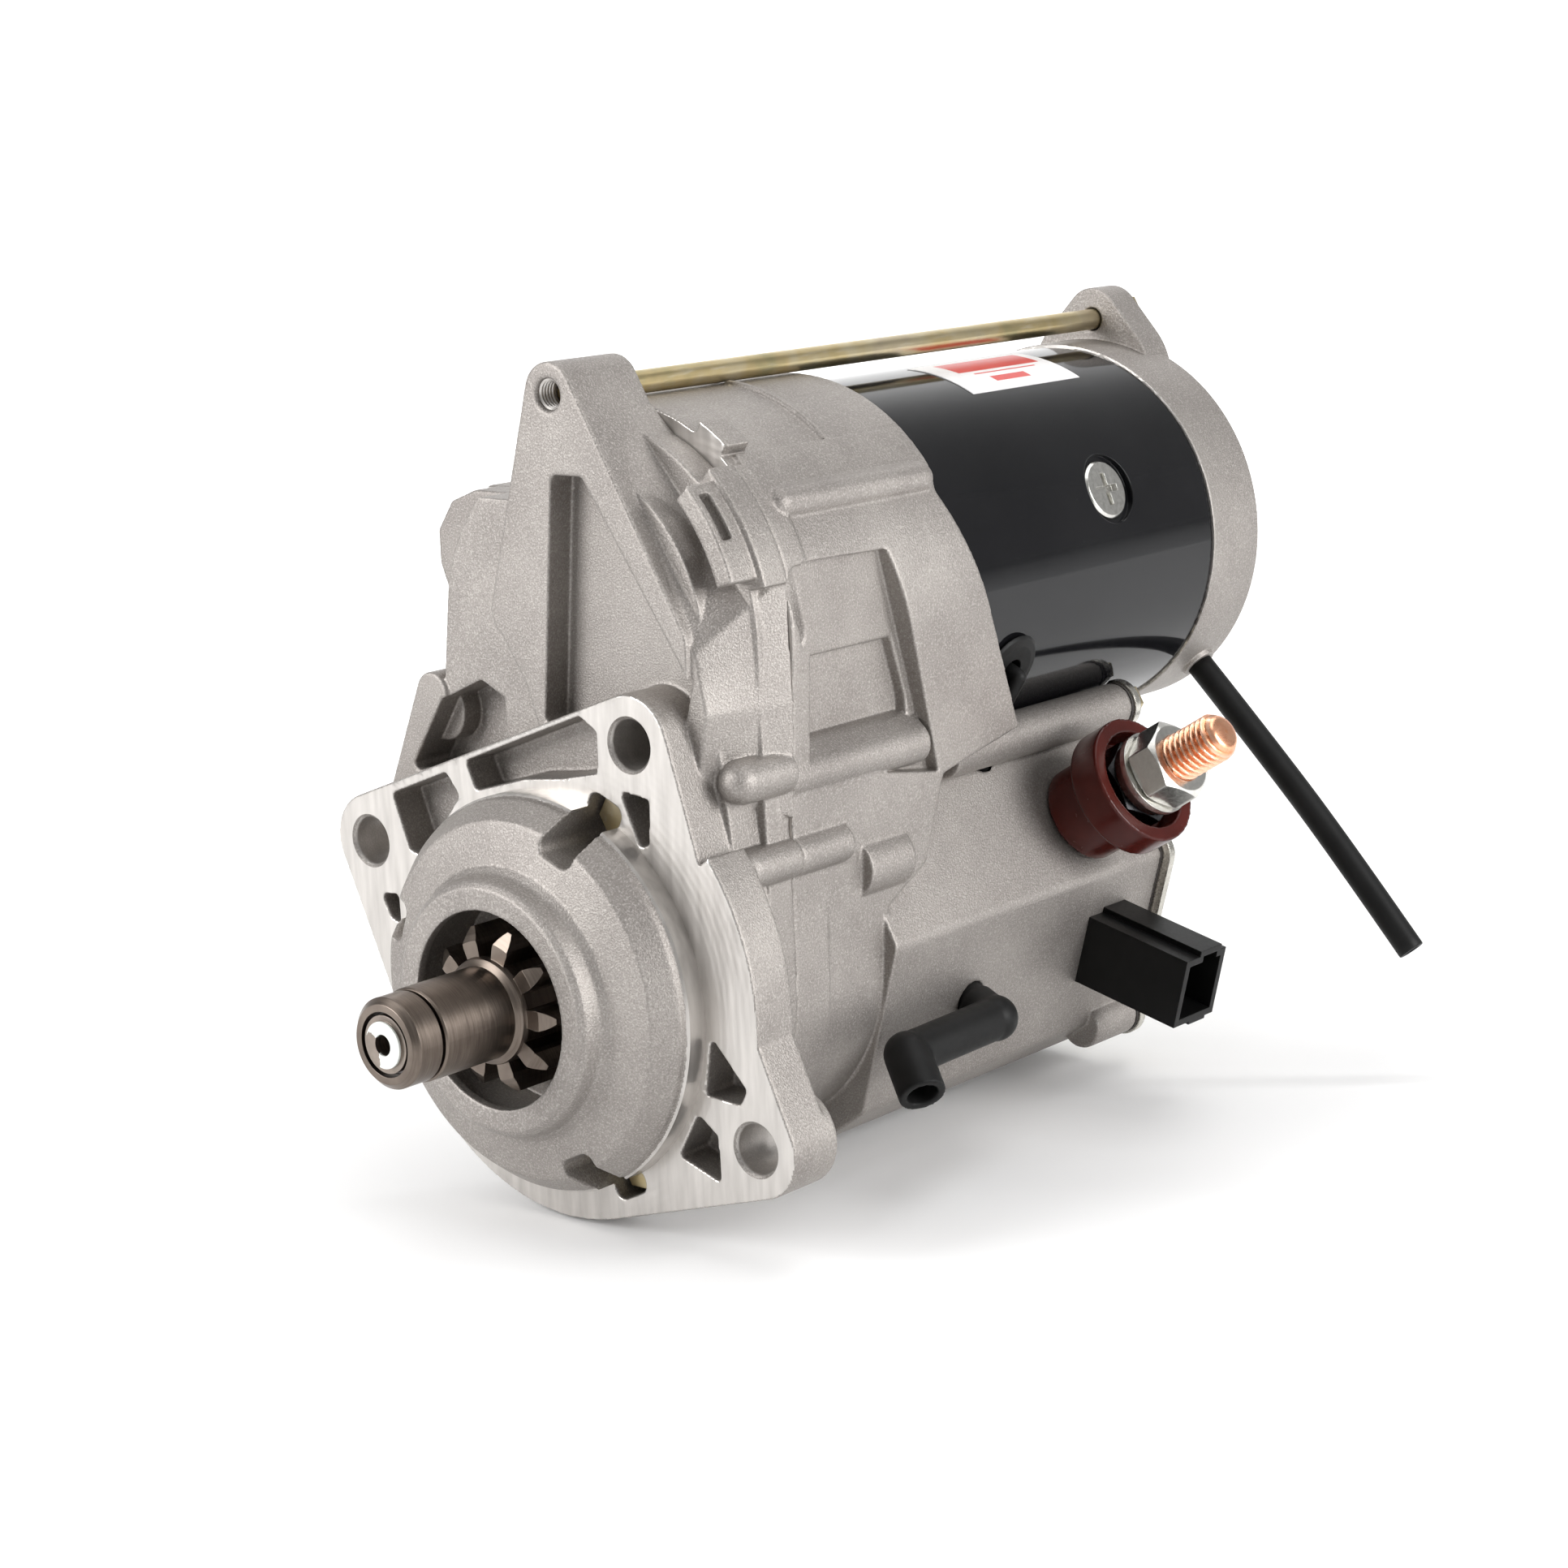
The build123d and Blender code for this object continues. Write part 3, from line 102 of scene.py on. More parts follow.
def add_area(name, place, target, size, power):
    data = bpy.data.lights.new(name, "AREA")
    data.shape, data.size, data.size_y = "RECTANGLE", size[0], size[1]
    data.energy = power
    light = bpy.data.objects.new(name, data)
    bpy.context.scene.collection.objects.link(light)
    aim(light, Vector(place), Vector(target))


def add_stage():
    """Pale floor that turns up into a backdrop behind the object."""
    low = cad_box[0][2] - 0.001
    front, depth, rise, top, half_width, steps = -6.0, 3.0, 1.2, 9.0, 12.0, 24
    profile = [(front, 0.0), (depth, 0.0)]
    for step in range(1, steps + 1):
        angle = math.pi / 2 * step / steps
        profile.append((depth + rise * math.sin(angle), rise * (1 - math.cos(angle))))
    profile.append((depth + rise, top))
    mesh = bpy.data.meshes.new("backdrop")
    points = [(x, y, low + z) for x in (-half_width, half_width) for y, z in profile]
    count = len(profile)
    faces = [(i, i + 1, count + i + 1, count + i) for i in range(count - 1)]
    mesh.from_pydata(points, [], faces)
    mesh.polygons.foreach_set("use_smooth", [True] * len(faces))
    backdrop = bpy.data.objects.new("backdrop", mesh)
    bpy.context.scene.collection.objects.link(backdrop)
    backdrop.matrix_world = Matrix.Rotation(math.radians(CAMERA_AZIMUTH), 4, "Z")
    paint = bpy.data.materials.new("pale_floor")
    paint.use_nodes = True
    shader = paint.node_tree.nodes["Principled BSDF"]
    shader.inputs["Base Color"].default_value = (0.92, 0.92, 0.92, 1)
    shader.inputs["Roughness"].default_value = 0.9
    shader.inputs["Specular IOR Level"].default_value = 0.1
    mesh.materials.append(paint)


def add_lights():
    world = bpy.data.worlds.new("studio")
    world.use_nodes = True
    world.node_tree.nodes["Background"].inputs["Color"].default_value = (1.0, 1.0, 1.0, 1)
    world.node_tree.nodes["Background"].inputs["Strength"].default_value = 0.34
    bpy.context.scene.world = world
    middle = (0.0, 0.09, 0.03)
    add_area("key", (-0.55, -0.95, 0.55), middle, (0.6, 0.8), 14)
    add_area("top", (0.25, 0.25, 1.25), middle, (1.0, 0.7), 4)
    add_area("side", (1.15, 0.30, 0.40), middle, (0.6, 0.6), 13)
    add_area("sweep", (-0.8, 0.9, 2.2), (-2.2, 2.6, 0.7), (3.0, 1.2), 130)
    bpy.context.scene.view_settings.view_transform = "Standard"


# ---- materials --------------------------------------------------------------------------------------
class Paint:
    """A material under construction: its node tree, its Principled shader and short ways to add nodes."""

    def __init__(self, name, colour, metallic=0.0, roughness=0.5, **constants):
        self.material = bpy.data.materials.new(name)
        self.material.use_nodes = True
        self.tree = self.material.node_tree
        self.shader = self.tree.nodes["Principled BSDF"]
        self.set("Base Color", (*colour, 1))
        self.set("Metallic", metallic)
        self.set("Roughness", roughness)
        for socket, value in constants.items():
            self.set(socket.replace("_", " "), value)
        self.place = self.add("ShaderNodeTexCoord").outputs["Object"]
        self.normal = None

    def set(self, socket, value):
        if isinstance(value, bpy.types.NodeSocket):
            self.tree.links.new(value, self.shader.inputs[socket])
        else:
            self.shader.inputs[socket].default_value = value

    def add(self, kind, inputs=None, **settings):
        made = self.tree.nodes.new(kind)
        for name, value in settings.items():
            setattr(made, name, value)
        for name, value in (inputs or {}).items():
            if isinstance(value, bpy.types.NodeSocket):
                self.tree.links.new(value, made.inputs[name])
            else:
                made.inputs[name].default_value = value
        return made

    def noise(self, scale, detail=3.0, roughness=0.55, stretch=(1, 1, 1), distortion=0.0):
        """Noise in object space, from 0 to 1; stretch multiplies the scale along X, Y and Z."""
        mapped = self.add("ShaderNodeVectorMath", {0: self.place, 1: stretch}, operation="MULTIPLY")
        made = self.add("ShaderNodeTexNoise", {"Vector": mapped.outputs[0], "Scale": scale, "Detail": detail,
                                               "Roughness": roughness, "Distortion": distortion})
        return made.outputs["Fac"]

    def ramp(self, value, *stops):
        """Colour or grey ramp: stops are (position, colour)."""
        made = self.add("ShaderNodeValToRGB", {"Fac": value})
        elements = made.color_ramp.elements
        while len(elements) < len(stops):
            elements.new(0.5)
        for element, (position, colour) in zip(elements, stops):
            element.position = position
            element.color = (colour,) * 3 + (1,) if isinstance(colour, float) else (*colour, 1)
        return made.outputs["Color"]

    def math(self, operation, first, second):
        return self.add("ShaderNodeMath", {0: first, 1: second}, operation=operation).outputs[0]

    def mix(self, factor, first, second, blend="MIX"):
        made = self.add("ShaderNodeMix", data_type="RGBA", blend_type=blend)
        for index, value in ((0, factor), (6, first), (7, second)):
            if isinstance(value, bpy.types.NodeSocket):
                self.tree.links.new(value, made.inputs[index])
            elif index:
                made.inputs[index].default_value = (*value, 1)
            else:
                made.inputs[index].default_value = value
        return made.outputs[2]

    def range(self, value, low, high):
        """Map 0..1 to low..high."""
        return self.add("ShaderNodeMapRange", {"Value": value, "To Min": low, "To Max": high}).outputs[0]

    def round_edges(self, radius):
        """Shade sharp edges as if they had a small radius, in millimetres."""
        self.normal = self.add("ShaderNodeBevel", {"Radius": radius * MM}, samples=4).outputs[0]
        self.set("Normal", self.normal)

    def bump(self, height, distance, strength=1.0):
        """Relief of a height field, distance in millimetres."""
        made = self.add("ShaderNodeBump", {"Height": height, "Distance": distance * MM, "Strength": strength})
        if self.normal:
            self.tree.links.new(self.normal, made.inputs["Normal"])
        self.normal = made.outputs[0]
        self.set("Normal", self.normal)

    def attribute(self, name):
        return self.add("ShaderNodeAttribute", attribute_name=name).outputs["Fac"]


def cast_aluminium():
    """Die-cast skin with a fine grain and a painted highlight that lightens its outer edges; machined faces
    are bright, with cutter marks.
    """
    paint = Paint("cast_aluminium", (0.45, 0.42, 0.39), 0.8, 0.5)
    machined = paint.attribute("machined")
    painted_edge_highlight = paint.attribute("edge")
    grain = paint.noise(2300, 2.0, 0.6)
    patches = paint.noise(38, 4.0, 0.6)
    cast = paint.ramp(patches, (0.3, (0.27, 0.248, 0.232)), (0.7, (0.36, 0.335, 0.313)))
    cast = paint.mix(paint.ramp(grain, (0.50, 0.0), (0.72, 0.6)), cast, (0.58, 0.545, 0.515))
    cast = paint.mix(paint.ramp(grain, (0.28, 0.45), (0.44, 0.0)), cast, (0.17, 0.155, 0.14))
    # Painted highlight: points that stand out as edges are mixed towards a light grey.
    cast = paint.mix(paint.math("MULTIPLY", painted_edge_highlight, 0.35), cast, (0.62, 0.59, 0.56))
    streaks = paint.noise(420, 3.0, 0.5, (1, 1, 0.12))
    bright = paint.ramp(streaks, (0.3, (0.50, 0.475, 0.45)), (0.7, (0.64, 0.61, 0.58)))
    paint.set("Base Color", paint.mix(machined, cast, bright))
    rough = paint.range(grain, 0.46, 0.60)
    fine = paint.range(streaks, 0.24, 0.38)
    paint.set("Roughness", paint.add("ShaderNodeMix", {"Factor": machined, "A": rough, "B": fine},
                                     data_type="FLOAT").outputs[0])
    rings = paint.add("ShaderNodeTexWave", {"Vector": paint.place, "Scale": 160.0, "Distortion": 1.2,
                                            "Detail": 1.0}, wave_type="RINGS", rings_direction="Y")
    cutter = paint.math("MULTIPLY", rings.outputs["Fac"], 0.10)
    relief = paint.add("ShaderNodeMix", {"Factor": machined, "A": grain, "B": cutter}, data_type="FLOAT")
    paint.bump(relief.outputs[0], 0.13)
    return paint.material


def steel(name, dark, light, roughness, scratch=(1, 1, 1), edge=0.25, relief=0.01):
    """Machined steel: dark and light are the two tones that its fine marks mix."""
    paint = Paint(name, light, 1.0, roughness)
    marks = paint.noise(900, 3.0, 0.6, scratch)
    clouds = paint.noise(60, 3.0, 0.6)
    tone = paint.math("MULTIPLY", paint.math("ADD", marks, clouds), 0.5)
    paint.set("Base Color", paint.ramp(tone, (0.35, dark), (0.65, light)))
    paint.set("Roughness", paint.range(marks, roughness - 0.07, roughness + 0.07))
    paint.round_edges(edge)
    paint.bump(marks, relief)
    return paint.material


def shaft_steel():
    """Warm gear steel with a dab of white inspection paint on the front end of the shaft."""
    paint = Paint("shaft_steel", (0.28, 0.24, 0.21), 1.0, 0.3)
    parts = paint.add("ShaderNodeSeparateXYZ", {0: paint.place})
    marks = paint.noise(700, 3.0, 0.6, (0.2, 3.0, 0.2))
    smear = paint.noise(420, 3.0, 0.6)
    front = paint.math("LESS_THAN", parts.outputs["Y"], -51.9 * MM)
    side = paint.math("GREATER_THAN", paint.math("ADD", parts.outputs["X"],
                                                 paint.math("MULTIPLY", smear, 6.0 * MM)), 1.6 * MM)
    above = paint.math("GREATER_THAN", paint.math("ADD", parts.outputs["Z"],
                                                  paint.math("MULTIPLY", smear, 5.0 * MM)), 4.2 * MM)
    dab = paint.math("MULTIPLY", front, paint.math("MAXIMUM", side, above))
    tone = paint.ramp(marks, (0.3, (0.20, 0.17, 0.15)), (0.7, (0.34, 0.29, 0.25)))
    paint.set("Base Color", paint.mix(dab, tone, (0.74, 0.76, 0.72)))
    paint.set("Metallic", paint.math("SUBTRACT", 1.0, dab))
    paint.set("Roughness", paint.range(smear, 0.25, 0.5))
    paint.round_edges(0.2)
    paint.bump(paint.math("MULTIPLY", smear, dab), 0.15)
    return paint.material


def yellow_zinc():
    """Yellow passivated zinc, with its faint play of olive, gold and grey."""
    paint = Paint("yellow_zinc", (0.52, 0.43, 0.24), 1.0, 0.34)
    tint = paint.noise(55, 3.0, 0.6)
    scuffs = paint.noise(500, 3.0, 0.65, (1, 0.15, 1))
    colour = paint.ramp(tint, (0.28, (0.40, 0.36, 0.20)), (0.45, (0.56, 0.45, 0.24)),
                        (0.6, (0.60, 0.52, 0.34)), (0.75, (0.50, 0.42, 0.30)))
    paint.set("Base Color", paint.mix(paint.ramp(scuffs, (0.55, 0.0), (0.75, 0.5)), colour,
                                      (0.66, 0.62, 0.52)))
    paint.set("Roughness", paint.range(scuffs, 0.26, 0.44))
    paint.round_edges(0.3)
    paint.bump(scuffs, 0.012)
    return paint.material


def copper():
    """Bright copper in stained tones, mixed towards a pale colour on the thread crests, less on the tip and
    not in the roots.
    """
    paint = Paint("copper", (0.85, 0.35, 0.16), 1.0, 0.26)
    stain = paint.noise(260, 4.0, 0.6)
    scuffs = paint.noise(900, 3.0, 0.7, (1, 0.4, 1))
    colour = paint.ramp(stain, (0.3, (0.82, 0.27, 0.11)), (0.55, (0.96, 0.44, 0.23)),
                        (0.75, (1.0, 0.56, 0.34)))
    crest_tone = paint.attribute("crest_tone")
    # Thread crests are mixed towards a pale colour; the roots keep the stained tones.
    paint.set("Base Color", paint.mix(paint.math("MULTIPLY", crest_tone, 0.6), colour, (0.95, 0.70, 0.56)))
    paint.set("Roughness", paint.range(scuffs, 0.2, 0.36))
    paint.bump(scuffs, 0.012)
    return paint.material


def wound_copper():
    """Enamelled wire, wound side by side."""
    paint = Paint("wound_copper", (0.55, 0.20, 0.08), 0.7, 0.3)
    wires = paint.add("ShaderNodeTexWave", {"Vector": paint.place, "Scale": 300.0, "Distortion": 0.6},
                      wave_type="BANDS", bands_direction="Y").outputs["Fac"]
    stain = paint.noise(70, 3.0, 0.6)
    colour = paint.ramp(stain, (0.3, (0.40, 0.13, 0.05)), (0.7, (0.64, 0.26, 0.11)))
    paint.set("Base Color", paint.mix(wires, (0.16, 0.05, 0.02), colour))
    paint.set("Roughness", paint.range(stain, 0.25, 0.4))
    paint.bump(wires, 0.2)
    return paint.material


def gloss_paint():
    """Thick gloss black enamel with a trace of orange peel and a few dust nibs."""
    paint = Paint("black_enamel", (0.005, 0.005, 0.006), 0.0, 0.09, Specular_IOR_Level=0.34)
    peel = paint.noise(140, 2.0, 0.5)
    dust = paint.ramp(paint.noise(1300, 1.0, 0.5), (0.74, 0.0), (0.80, 1.0))
    haze = paint.noise(30, 3.0, 0.6)
    colour = paint.ramp(haze, (0.3, (0.004, 0.004, 0.005)), (0.7, (0.007, 0.007, 0.008)))
    paint.set("Base Color", paint.mix(paint.math("MULTIPLY", dust, 0.05), colour, (0.25, 0.25, 0.25)))
    paint.set("Roughness", paint.range(haze, 0.06, 0.12))
    paint.round_edges(0.4)
    paint.bump(peel, 0.012, 0.35)
    return paint.material


def moulding(name, dark, light, roughness, grain=600, relief=0.01, edge=0.3, specular=0.5):
    """Moulded plastic, fibre or rubber: two close tones, a fine texture and rounded edges."""
    paint = Paint(name, light, 0.0, roughness, Specular_IOR_Level=specular)
    clouds = paint.noise(75, 3.0, 0.6)
    texture = paint.noise(grain, 3.0, 0.6)
    paint.set("Base Color", paint.ramp(clouds, (0.3, dark), (0.7, light)))
    paint.set("Roughness", paint.range(texture, max(0.04, roughness - 0.08), min(1.0, roughness + 0.08)))
    paint.round_edges(edge)
    paint.bump(texture, relief)
    return paint.material


def label_paper():
    """Glossy label: a red panel with a white border and plain bars, and no lettering."""
    paint = Paint("label_paper", (0.8, 0.8, 0.8), 0.0, 0.3)
    parts = paint.add("ShaderNodeSeparateXYZ", {0: paint.place})
    x, y = parts.outputs["X"], parts.outputs["Y"]

    def between(value, low, high):
        return paint.math("MULTIPLY", paint.math("GREATER_THAN", value, low * MM),
                          paint.math("LESS_THAN", value, high * MM))

    band = paint.math("MULTIPLY", between(x, 3.6, 12.0), between(y, 139.0, 172.0))
    bar = paint.math("MULTIPLY", between(x, 13.4, 14.0), between(y, 143.0, 168.0))
    block = paint.math("MULTIPLY", between(x, 16.0, 18.6), between(y, 146.0, 160.0))
    bar = paint.math("MAXIMUM", bar, block)
    fibre = paint.noise(700, 3.0, 0.6)
    white = paint.ramp(fibre, (0.3, (0.74, 0.73, 0.73)), (0.7, (0.82, 0.81, 0.81)))
    red = paint.ramp(fibre, (0.3, (0.55, 0.035, 0.03)), (0.7, (0.64, 0.05, 0.04)))
    paint.set("Base Color", paint.mix(paint.math("MAXIMUM", band, bar), white, red))
    paint.set("Roughness", paint.range(fibre, 0.24, 0.36))
    paint.bump(fibre, 0.005)
    return paint.material


def make_materials():
    """One procedural material for each material slot of the record."""
    turned = (0.15, 3.0, 0.15)
    return {
        "cast_aluminium": cast_aluminium(),
        "bearing_steel": steel("bearing_steel", (0.42, 0.42, 0.43), (0.62, 0.62, 0.63), 0.2),
        "gear_steel": steel("gear_steel", (0.13, 0.105, 0.088), (0.235, 0.195, 0.165), 0.33, turned,
                            0.22, 0.012),
        "spring_steel": steel("spring_steel", (0.20, 0.20, 0.21), (0.34, 0.34, 0.35), 0.3),
        "core_steel": steel("core_steel", (0.12, 0.12, 0.13), (0.24, 0.24, 0.25), 0.45, (0.3, 4.0, 0.3)),
        "yellow_zinc": yellow_zinc(),
        "bright_zinc": steel("bright_zinc", (0.60, 0.59, 0.56), (0.80, 0.79, 0.75), 0.24, (1, 1, 1),
                             0.3, 0.008),
        "black_steel": steel("black_steel", (0.012, 0.012, 0.013), (0.04, 0.04, 0.042), 0.28, edge=0.3),
        "black_paint": gloss_paint(),
        "copper": copper(),
        "carbon": moulding("carbon_brush", (0.02, 0.02, 0.022), (0.05, 0.05, 0.052), 0.7, 1500, 0.02),
        "phenolic": moulding("phenolic", (0.045, 0.006, 0.004), (0.072, 0.010, 0.007), 0.24, 350, 0.006,
                             0.45, 0.3),
        "black_plastic": moulding("black_plastic", (0.003, 0.003, 0.003), (0.006, 0.006, 0.006), 0.36,
                                  900, 0.01, 0.3, 0.2),
        "fibre": moulding("fibre", (0.030, 0.026, 0.024), (0.055, 0.048, 0.044), 0.7, 700, 0.03),
        "black_rubber": moulding("black_rubber", (0.004, 0.004, 0.004), (0.009, 0.009, 0.009), 0.5,
                                 500, 0.03, 0.4, 0.22),
        "paper_label": label_paper(),
        "plated_lid": steel("plated_lid", (0.55, 0.53, 0.48), (0.72, 0.70, 0.64), 0.27, edge=0.5),
    }


# ---- mesh helpers -----------------------------------------------------------------------------------
def new_object(name, mesh):
    mesh.polygons.foreach_set("use_smooth", [True] * len(mesh.polygons))
    made = bpy.data.objects.new(name, mesh)
    bpy.context.scene.collection.objects.link(made)
    return made


def with_modifier(mesh, kind, **settings):
    """A mesh after one modifier."""
    holder = bpy.data.objects.new("holder", mesh)
    bpy.context.scene.collection.objects.link(holder)
    modifier = holder.modifiers.new(kind, kind)
    for name, value in settings.items():
        setattr(modifier, name, value)
    bpy.context.view_layer.update()
    result = bpy.data.meshes.new_from_object(holder.evaluated_get(bpy.context.evaluated_depsgraph_get()))
    bpy.data.objects.remove(holder)
    return result


def read_points(mesh):
    points = np.empty(len(mesh.vertices) * 3, np.float32)
    mesh.vertices.foreach_get("co", points)
    return points.reshape(-1, 3).astype(float)


def write_points(mesh, points):
    mesh.vertices.foreach_set("co", points.astype(np.float32).ravel())
    mesh.update()


def read_normals(mesh):
    normals = np.empty(len(mesh.vertices) * 3, np.float32)
    mesh.vertices.foreach_get("normal", normals)
    return normals.reshape(-1, 3)


def relax(mesh, points, weight, passes):
    """Average each point with its neighbours, so that edges turn into small fillets."""
    edges = np.empty(len(mesh.edges) * 2, np.int32)
    mesh.edges.foreach_get("vertices", edges)
    first, second = edges.reshape(-1, 2).T
    count = np.bincount(edges, minlength=len(points)).clip(1)[:, None]
    weight = weight[:, None] * 0.5
    for _ in range(passes):
        total = np.empty_like(points)
        for axis in range(3):
            total[:, axis] = (np.bincount(first, points[second, axis], len(points))
                              + np.bincount(second, points[first, axis], len(points)))
        points = points + (total / count - points) * weight
    return points


def read_faces(mesh):
    """Centres and normals of the faces."""
    centres = np.empty(len(mesh.polygons) * 3, np.float32)
    normals = np.empty(len(mesh.polygons) * 3, np.float32)
    mesh.polygons.foreach_get("center", centres)
    mesh.polygons.foreach_get("normal", normals)
    return centres.reshape(-1, 3).astype(float), normals.reshape(-1, 3)


def put_attribute(mesh, name, values, domain="POINT"):
    made = mesh.attributes.new(name, "FLOAT", domain)
    made.data.foreach_set("value", values.astype(np.float32))


def recast(node, name, passes, crisp, faces):
    """A casting's CAD shape with its edges rounded.

    crisp(points, normals) says what is machined, from 0 to 1, at points in millimetres. Machined faces keep
    their edges. faces is about how many triangles are left.
    """
    rough = with_modifier(NODES[node].data.copy(), "REMESH", mode="SHARP", scale=0.95, sharpness=1.0,
                          octree_depth=9, use_remove_disconnected=False)
    points = read_points(rough) / MM
    machined = crisp(points, read_normals(rough))
    points = relax(rough, points, 1.0 - machined, passes)
    write_points(rough, points * MM)
    thin = with_modifier(rough, "DECIMATE", decimate_type="COLLAPSE",
                         ratio=min(1.0, faces / (2 * len(rough.polygons))))
    mark_sharp(thin, 40)
    thin = with_modifier(thin, "WEIGHTED_NORMAL", weight=60, keep_sharp=True)
    centres, facing = read_faces(thin)
    put_attribute(thin, "machined", crisp(centres / MM, facing), "FACE")
    # The edge attribute sets where the casting gets its painted edge highlight.
    put_attribute(thin, "edge", sharpness(thin, read_points(thin) / MM, read_normals(thin)))
    thin.materials.clear()
    thin.materials.append(MATERIALS["cast_aluminium"])
    piece = new_object(name, thin)
    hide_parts(node)
    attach(piece, "housing")


def sharpness(mesh, points, normals):
    """How far each point stands out of its neighbours, from 0 on a flat or hollow to 1 on an edge."""
    edges = np.empty(len(mesh.edges) * 2, np.int32)
    mesh.edges.foreach_get("vertices", edges)
    first, second = edges.reshape(-1, 2).T
    step = points[second] - points[first]
    length = np.linalg.norm(step, axis=1).clip(1e-6)
    out_first = (step * normals[first]).sum(1) / length
    out_second = -(step * normals[second]).sum(1) / length
    total = np.bincount(first, out_first, len(points)) + np.bincount(second, out_second, len(points))
    mean = total / np.bincount(edges, minlength=len(points)).clip(1)
    return ((-mean - 0.08) / 0.22).clip(0, 1)


def near(value, target, width):
    """1 within a width of a target, else 0."""
    return (np.abs(value - target) < width).astype(float)


def crisp_drive(points, normals):
    """The flange face, the pilot, the bolt holes and the joint face of the front casting."""
    x, y, z = points.T
    radius = np.hypot(x, z)
    face = near(y, 0.0, 0.25) * (normals[:, 1] < -0.8) * (radius > 45.0)
    pilot = near(radius, PILOT_R, 0.5) * (y > -6.2) * (y < 0.3)
    joint = near(y, JOINT_Y, 0.25) * (normals[:, 1] > 0.8)
    holes = np.zeros(len(points))
    for hole_x, hole_z in BOLT_HOLES:
        holes = np.maximum(holes, (np.hypot(x - hole_x, z - hole_z) < 6.1) * (y < 14.0))
    return np.maximum.reduce([face, pilot, joint, 0.5 * holes])


def crisp_switch(points, normals):
    """The joint faces at both ends and the seat of the yoke."""
    x, y, z = points.T
    seat = near(np.hypot(x, z - MOTOR_Z), YOKE_R, 0.4) * (y > 74.0)
    front = near(y, JOINT_Y, 0.25) * (normals[:, 1] < -0.8)
    back = near(y, HOUSING_BACK, 0.25) * (normals[:, 1] > 0.8)
    return np.maximum.reduce([seat, front, back])


def crisp_end(points, normals):
    """The joint face of the rear cover."""
    return near(points[:, 1], END_FRAME_FRONT, 0.25) * (normals[:, 1] < -0.8)


def terminal_matrix():
    """Turn and shift from the terminal's own axes, its stud along +X, to the frame."""
    turn = Matrix.Rotation(math.radians(-TERMINAL_TILT), 4, "Y")
    return (Matrix.Translation((0, TERMINAL_Y * MM, 0)) @ turn
            @ Matrix.Translation((0, 0, TERMINAL_OFFSET * MM)))


def close_rings(made, rings, steps):
    """Skin a stack of rings and cap both ends with fans."""
    for low, high in zip(rings, rings[1:]):
        for i in range(steps):
            j = (i + 1) % steps
            made.faces.new((low[i], low[j], high[j], high[i]))
    for ring, flip in ((rings[0], True), (rings[-1], False)):
        middle = made.verts.new(sum((v.co for v in ring), Vector()) / steps)
        for i in range(steps):
            j = (i + 1) % steps
            made.faces.new((ring[j], ring[i], middle) if flip else (ring[i], ring[j], middle))
    bmesh.ops.recalc_face_normals(made, faces=made.faces)


# ---- pieces that stand for CAD nodes ------------------------------------------------------------------
def threaded_stud():
    """M12 copper stud with a rolled thread, a bevelled end and a slightly domed tip."""
    pitch, depth, steps, per_turn = 1.75, 1.0, 72, 14
    start, end, tip = 60.0, 96.0, 97.4
    made = bmesh.new()
    crest_tone = made.verts.layers.float.new("crest_tone")

    def ring(x, radius_of):
        verts = []
        for i in range(steps):
            angle = 2 * math.pi * i / steps
            radius, crest = radius_of(angle)
            vert = made.verts.new((x * MM, radius * MM * math.cos(angle), radius * MM * math.sin(angle)))
            vert[crest_tone] = crest
            verts.append(vert)
        return verts

    def thread(x):
        room = STUD_R if x < end - 1.6 else STUD_R - (x - (end - 1.6)) * 0.75

        def radius_of(angle):
            phase = (x / pitch - angle / (2 * math.pi)) % 1.0
            flank = min(1.0, max(0.0, (abs(phase - 0.5) - 0.09) / 0.33))
            return min(room, STUD_R - depth * flank), 1.0 - flank
        return radius_of

    rings = [ring(34.1, lambda angle: (STUD_R, 0.0)), ring(start - 0.5, lambda angle: (STUD_R, 0.0))]
    count = int((end - start) / pitch * per_turn)
    rings += [ring(start + (end - start) * i / count, thread(start + (end - start) * i / count))
              for i in range(count + 1)]
    for x, radius in ((end + 0.35, 4.55), (end + 0.75, 4.2), (end + 1.0, 3.4), (tip - 0.2, 2.0),
                      (tip - 0.1, 0.8)):
        rings.append(ring(x, lambda angle, radius=radius: (radius, 0.4)))
    close_rings(made, rings, steps)
    mesh = bpy.data.meshes.new("threaded_stud")
    made.to_mesh(mesh)
    made.free()
    return mesh


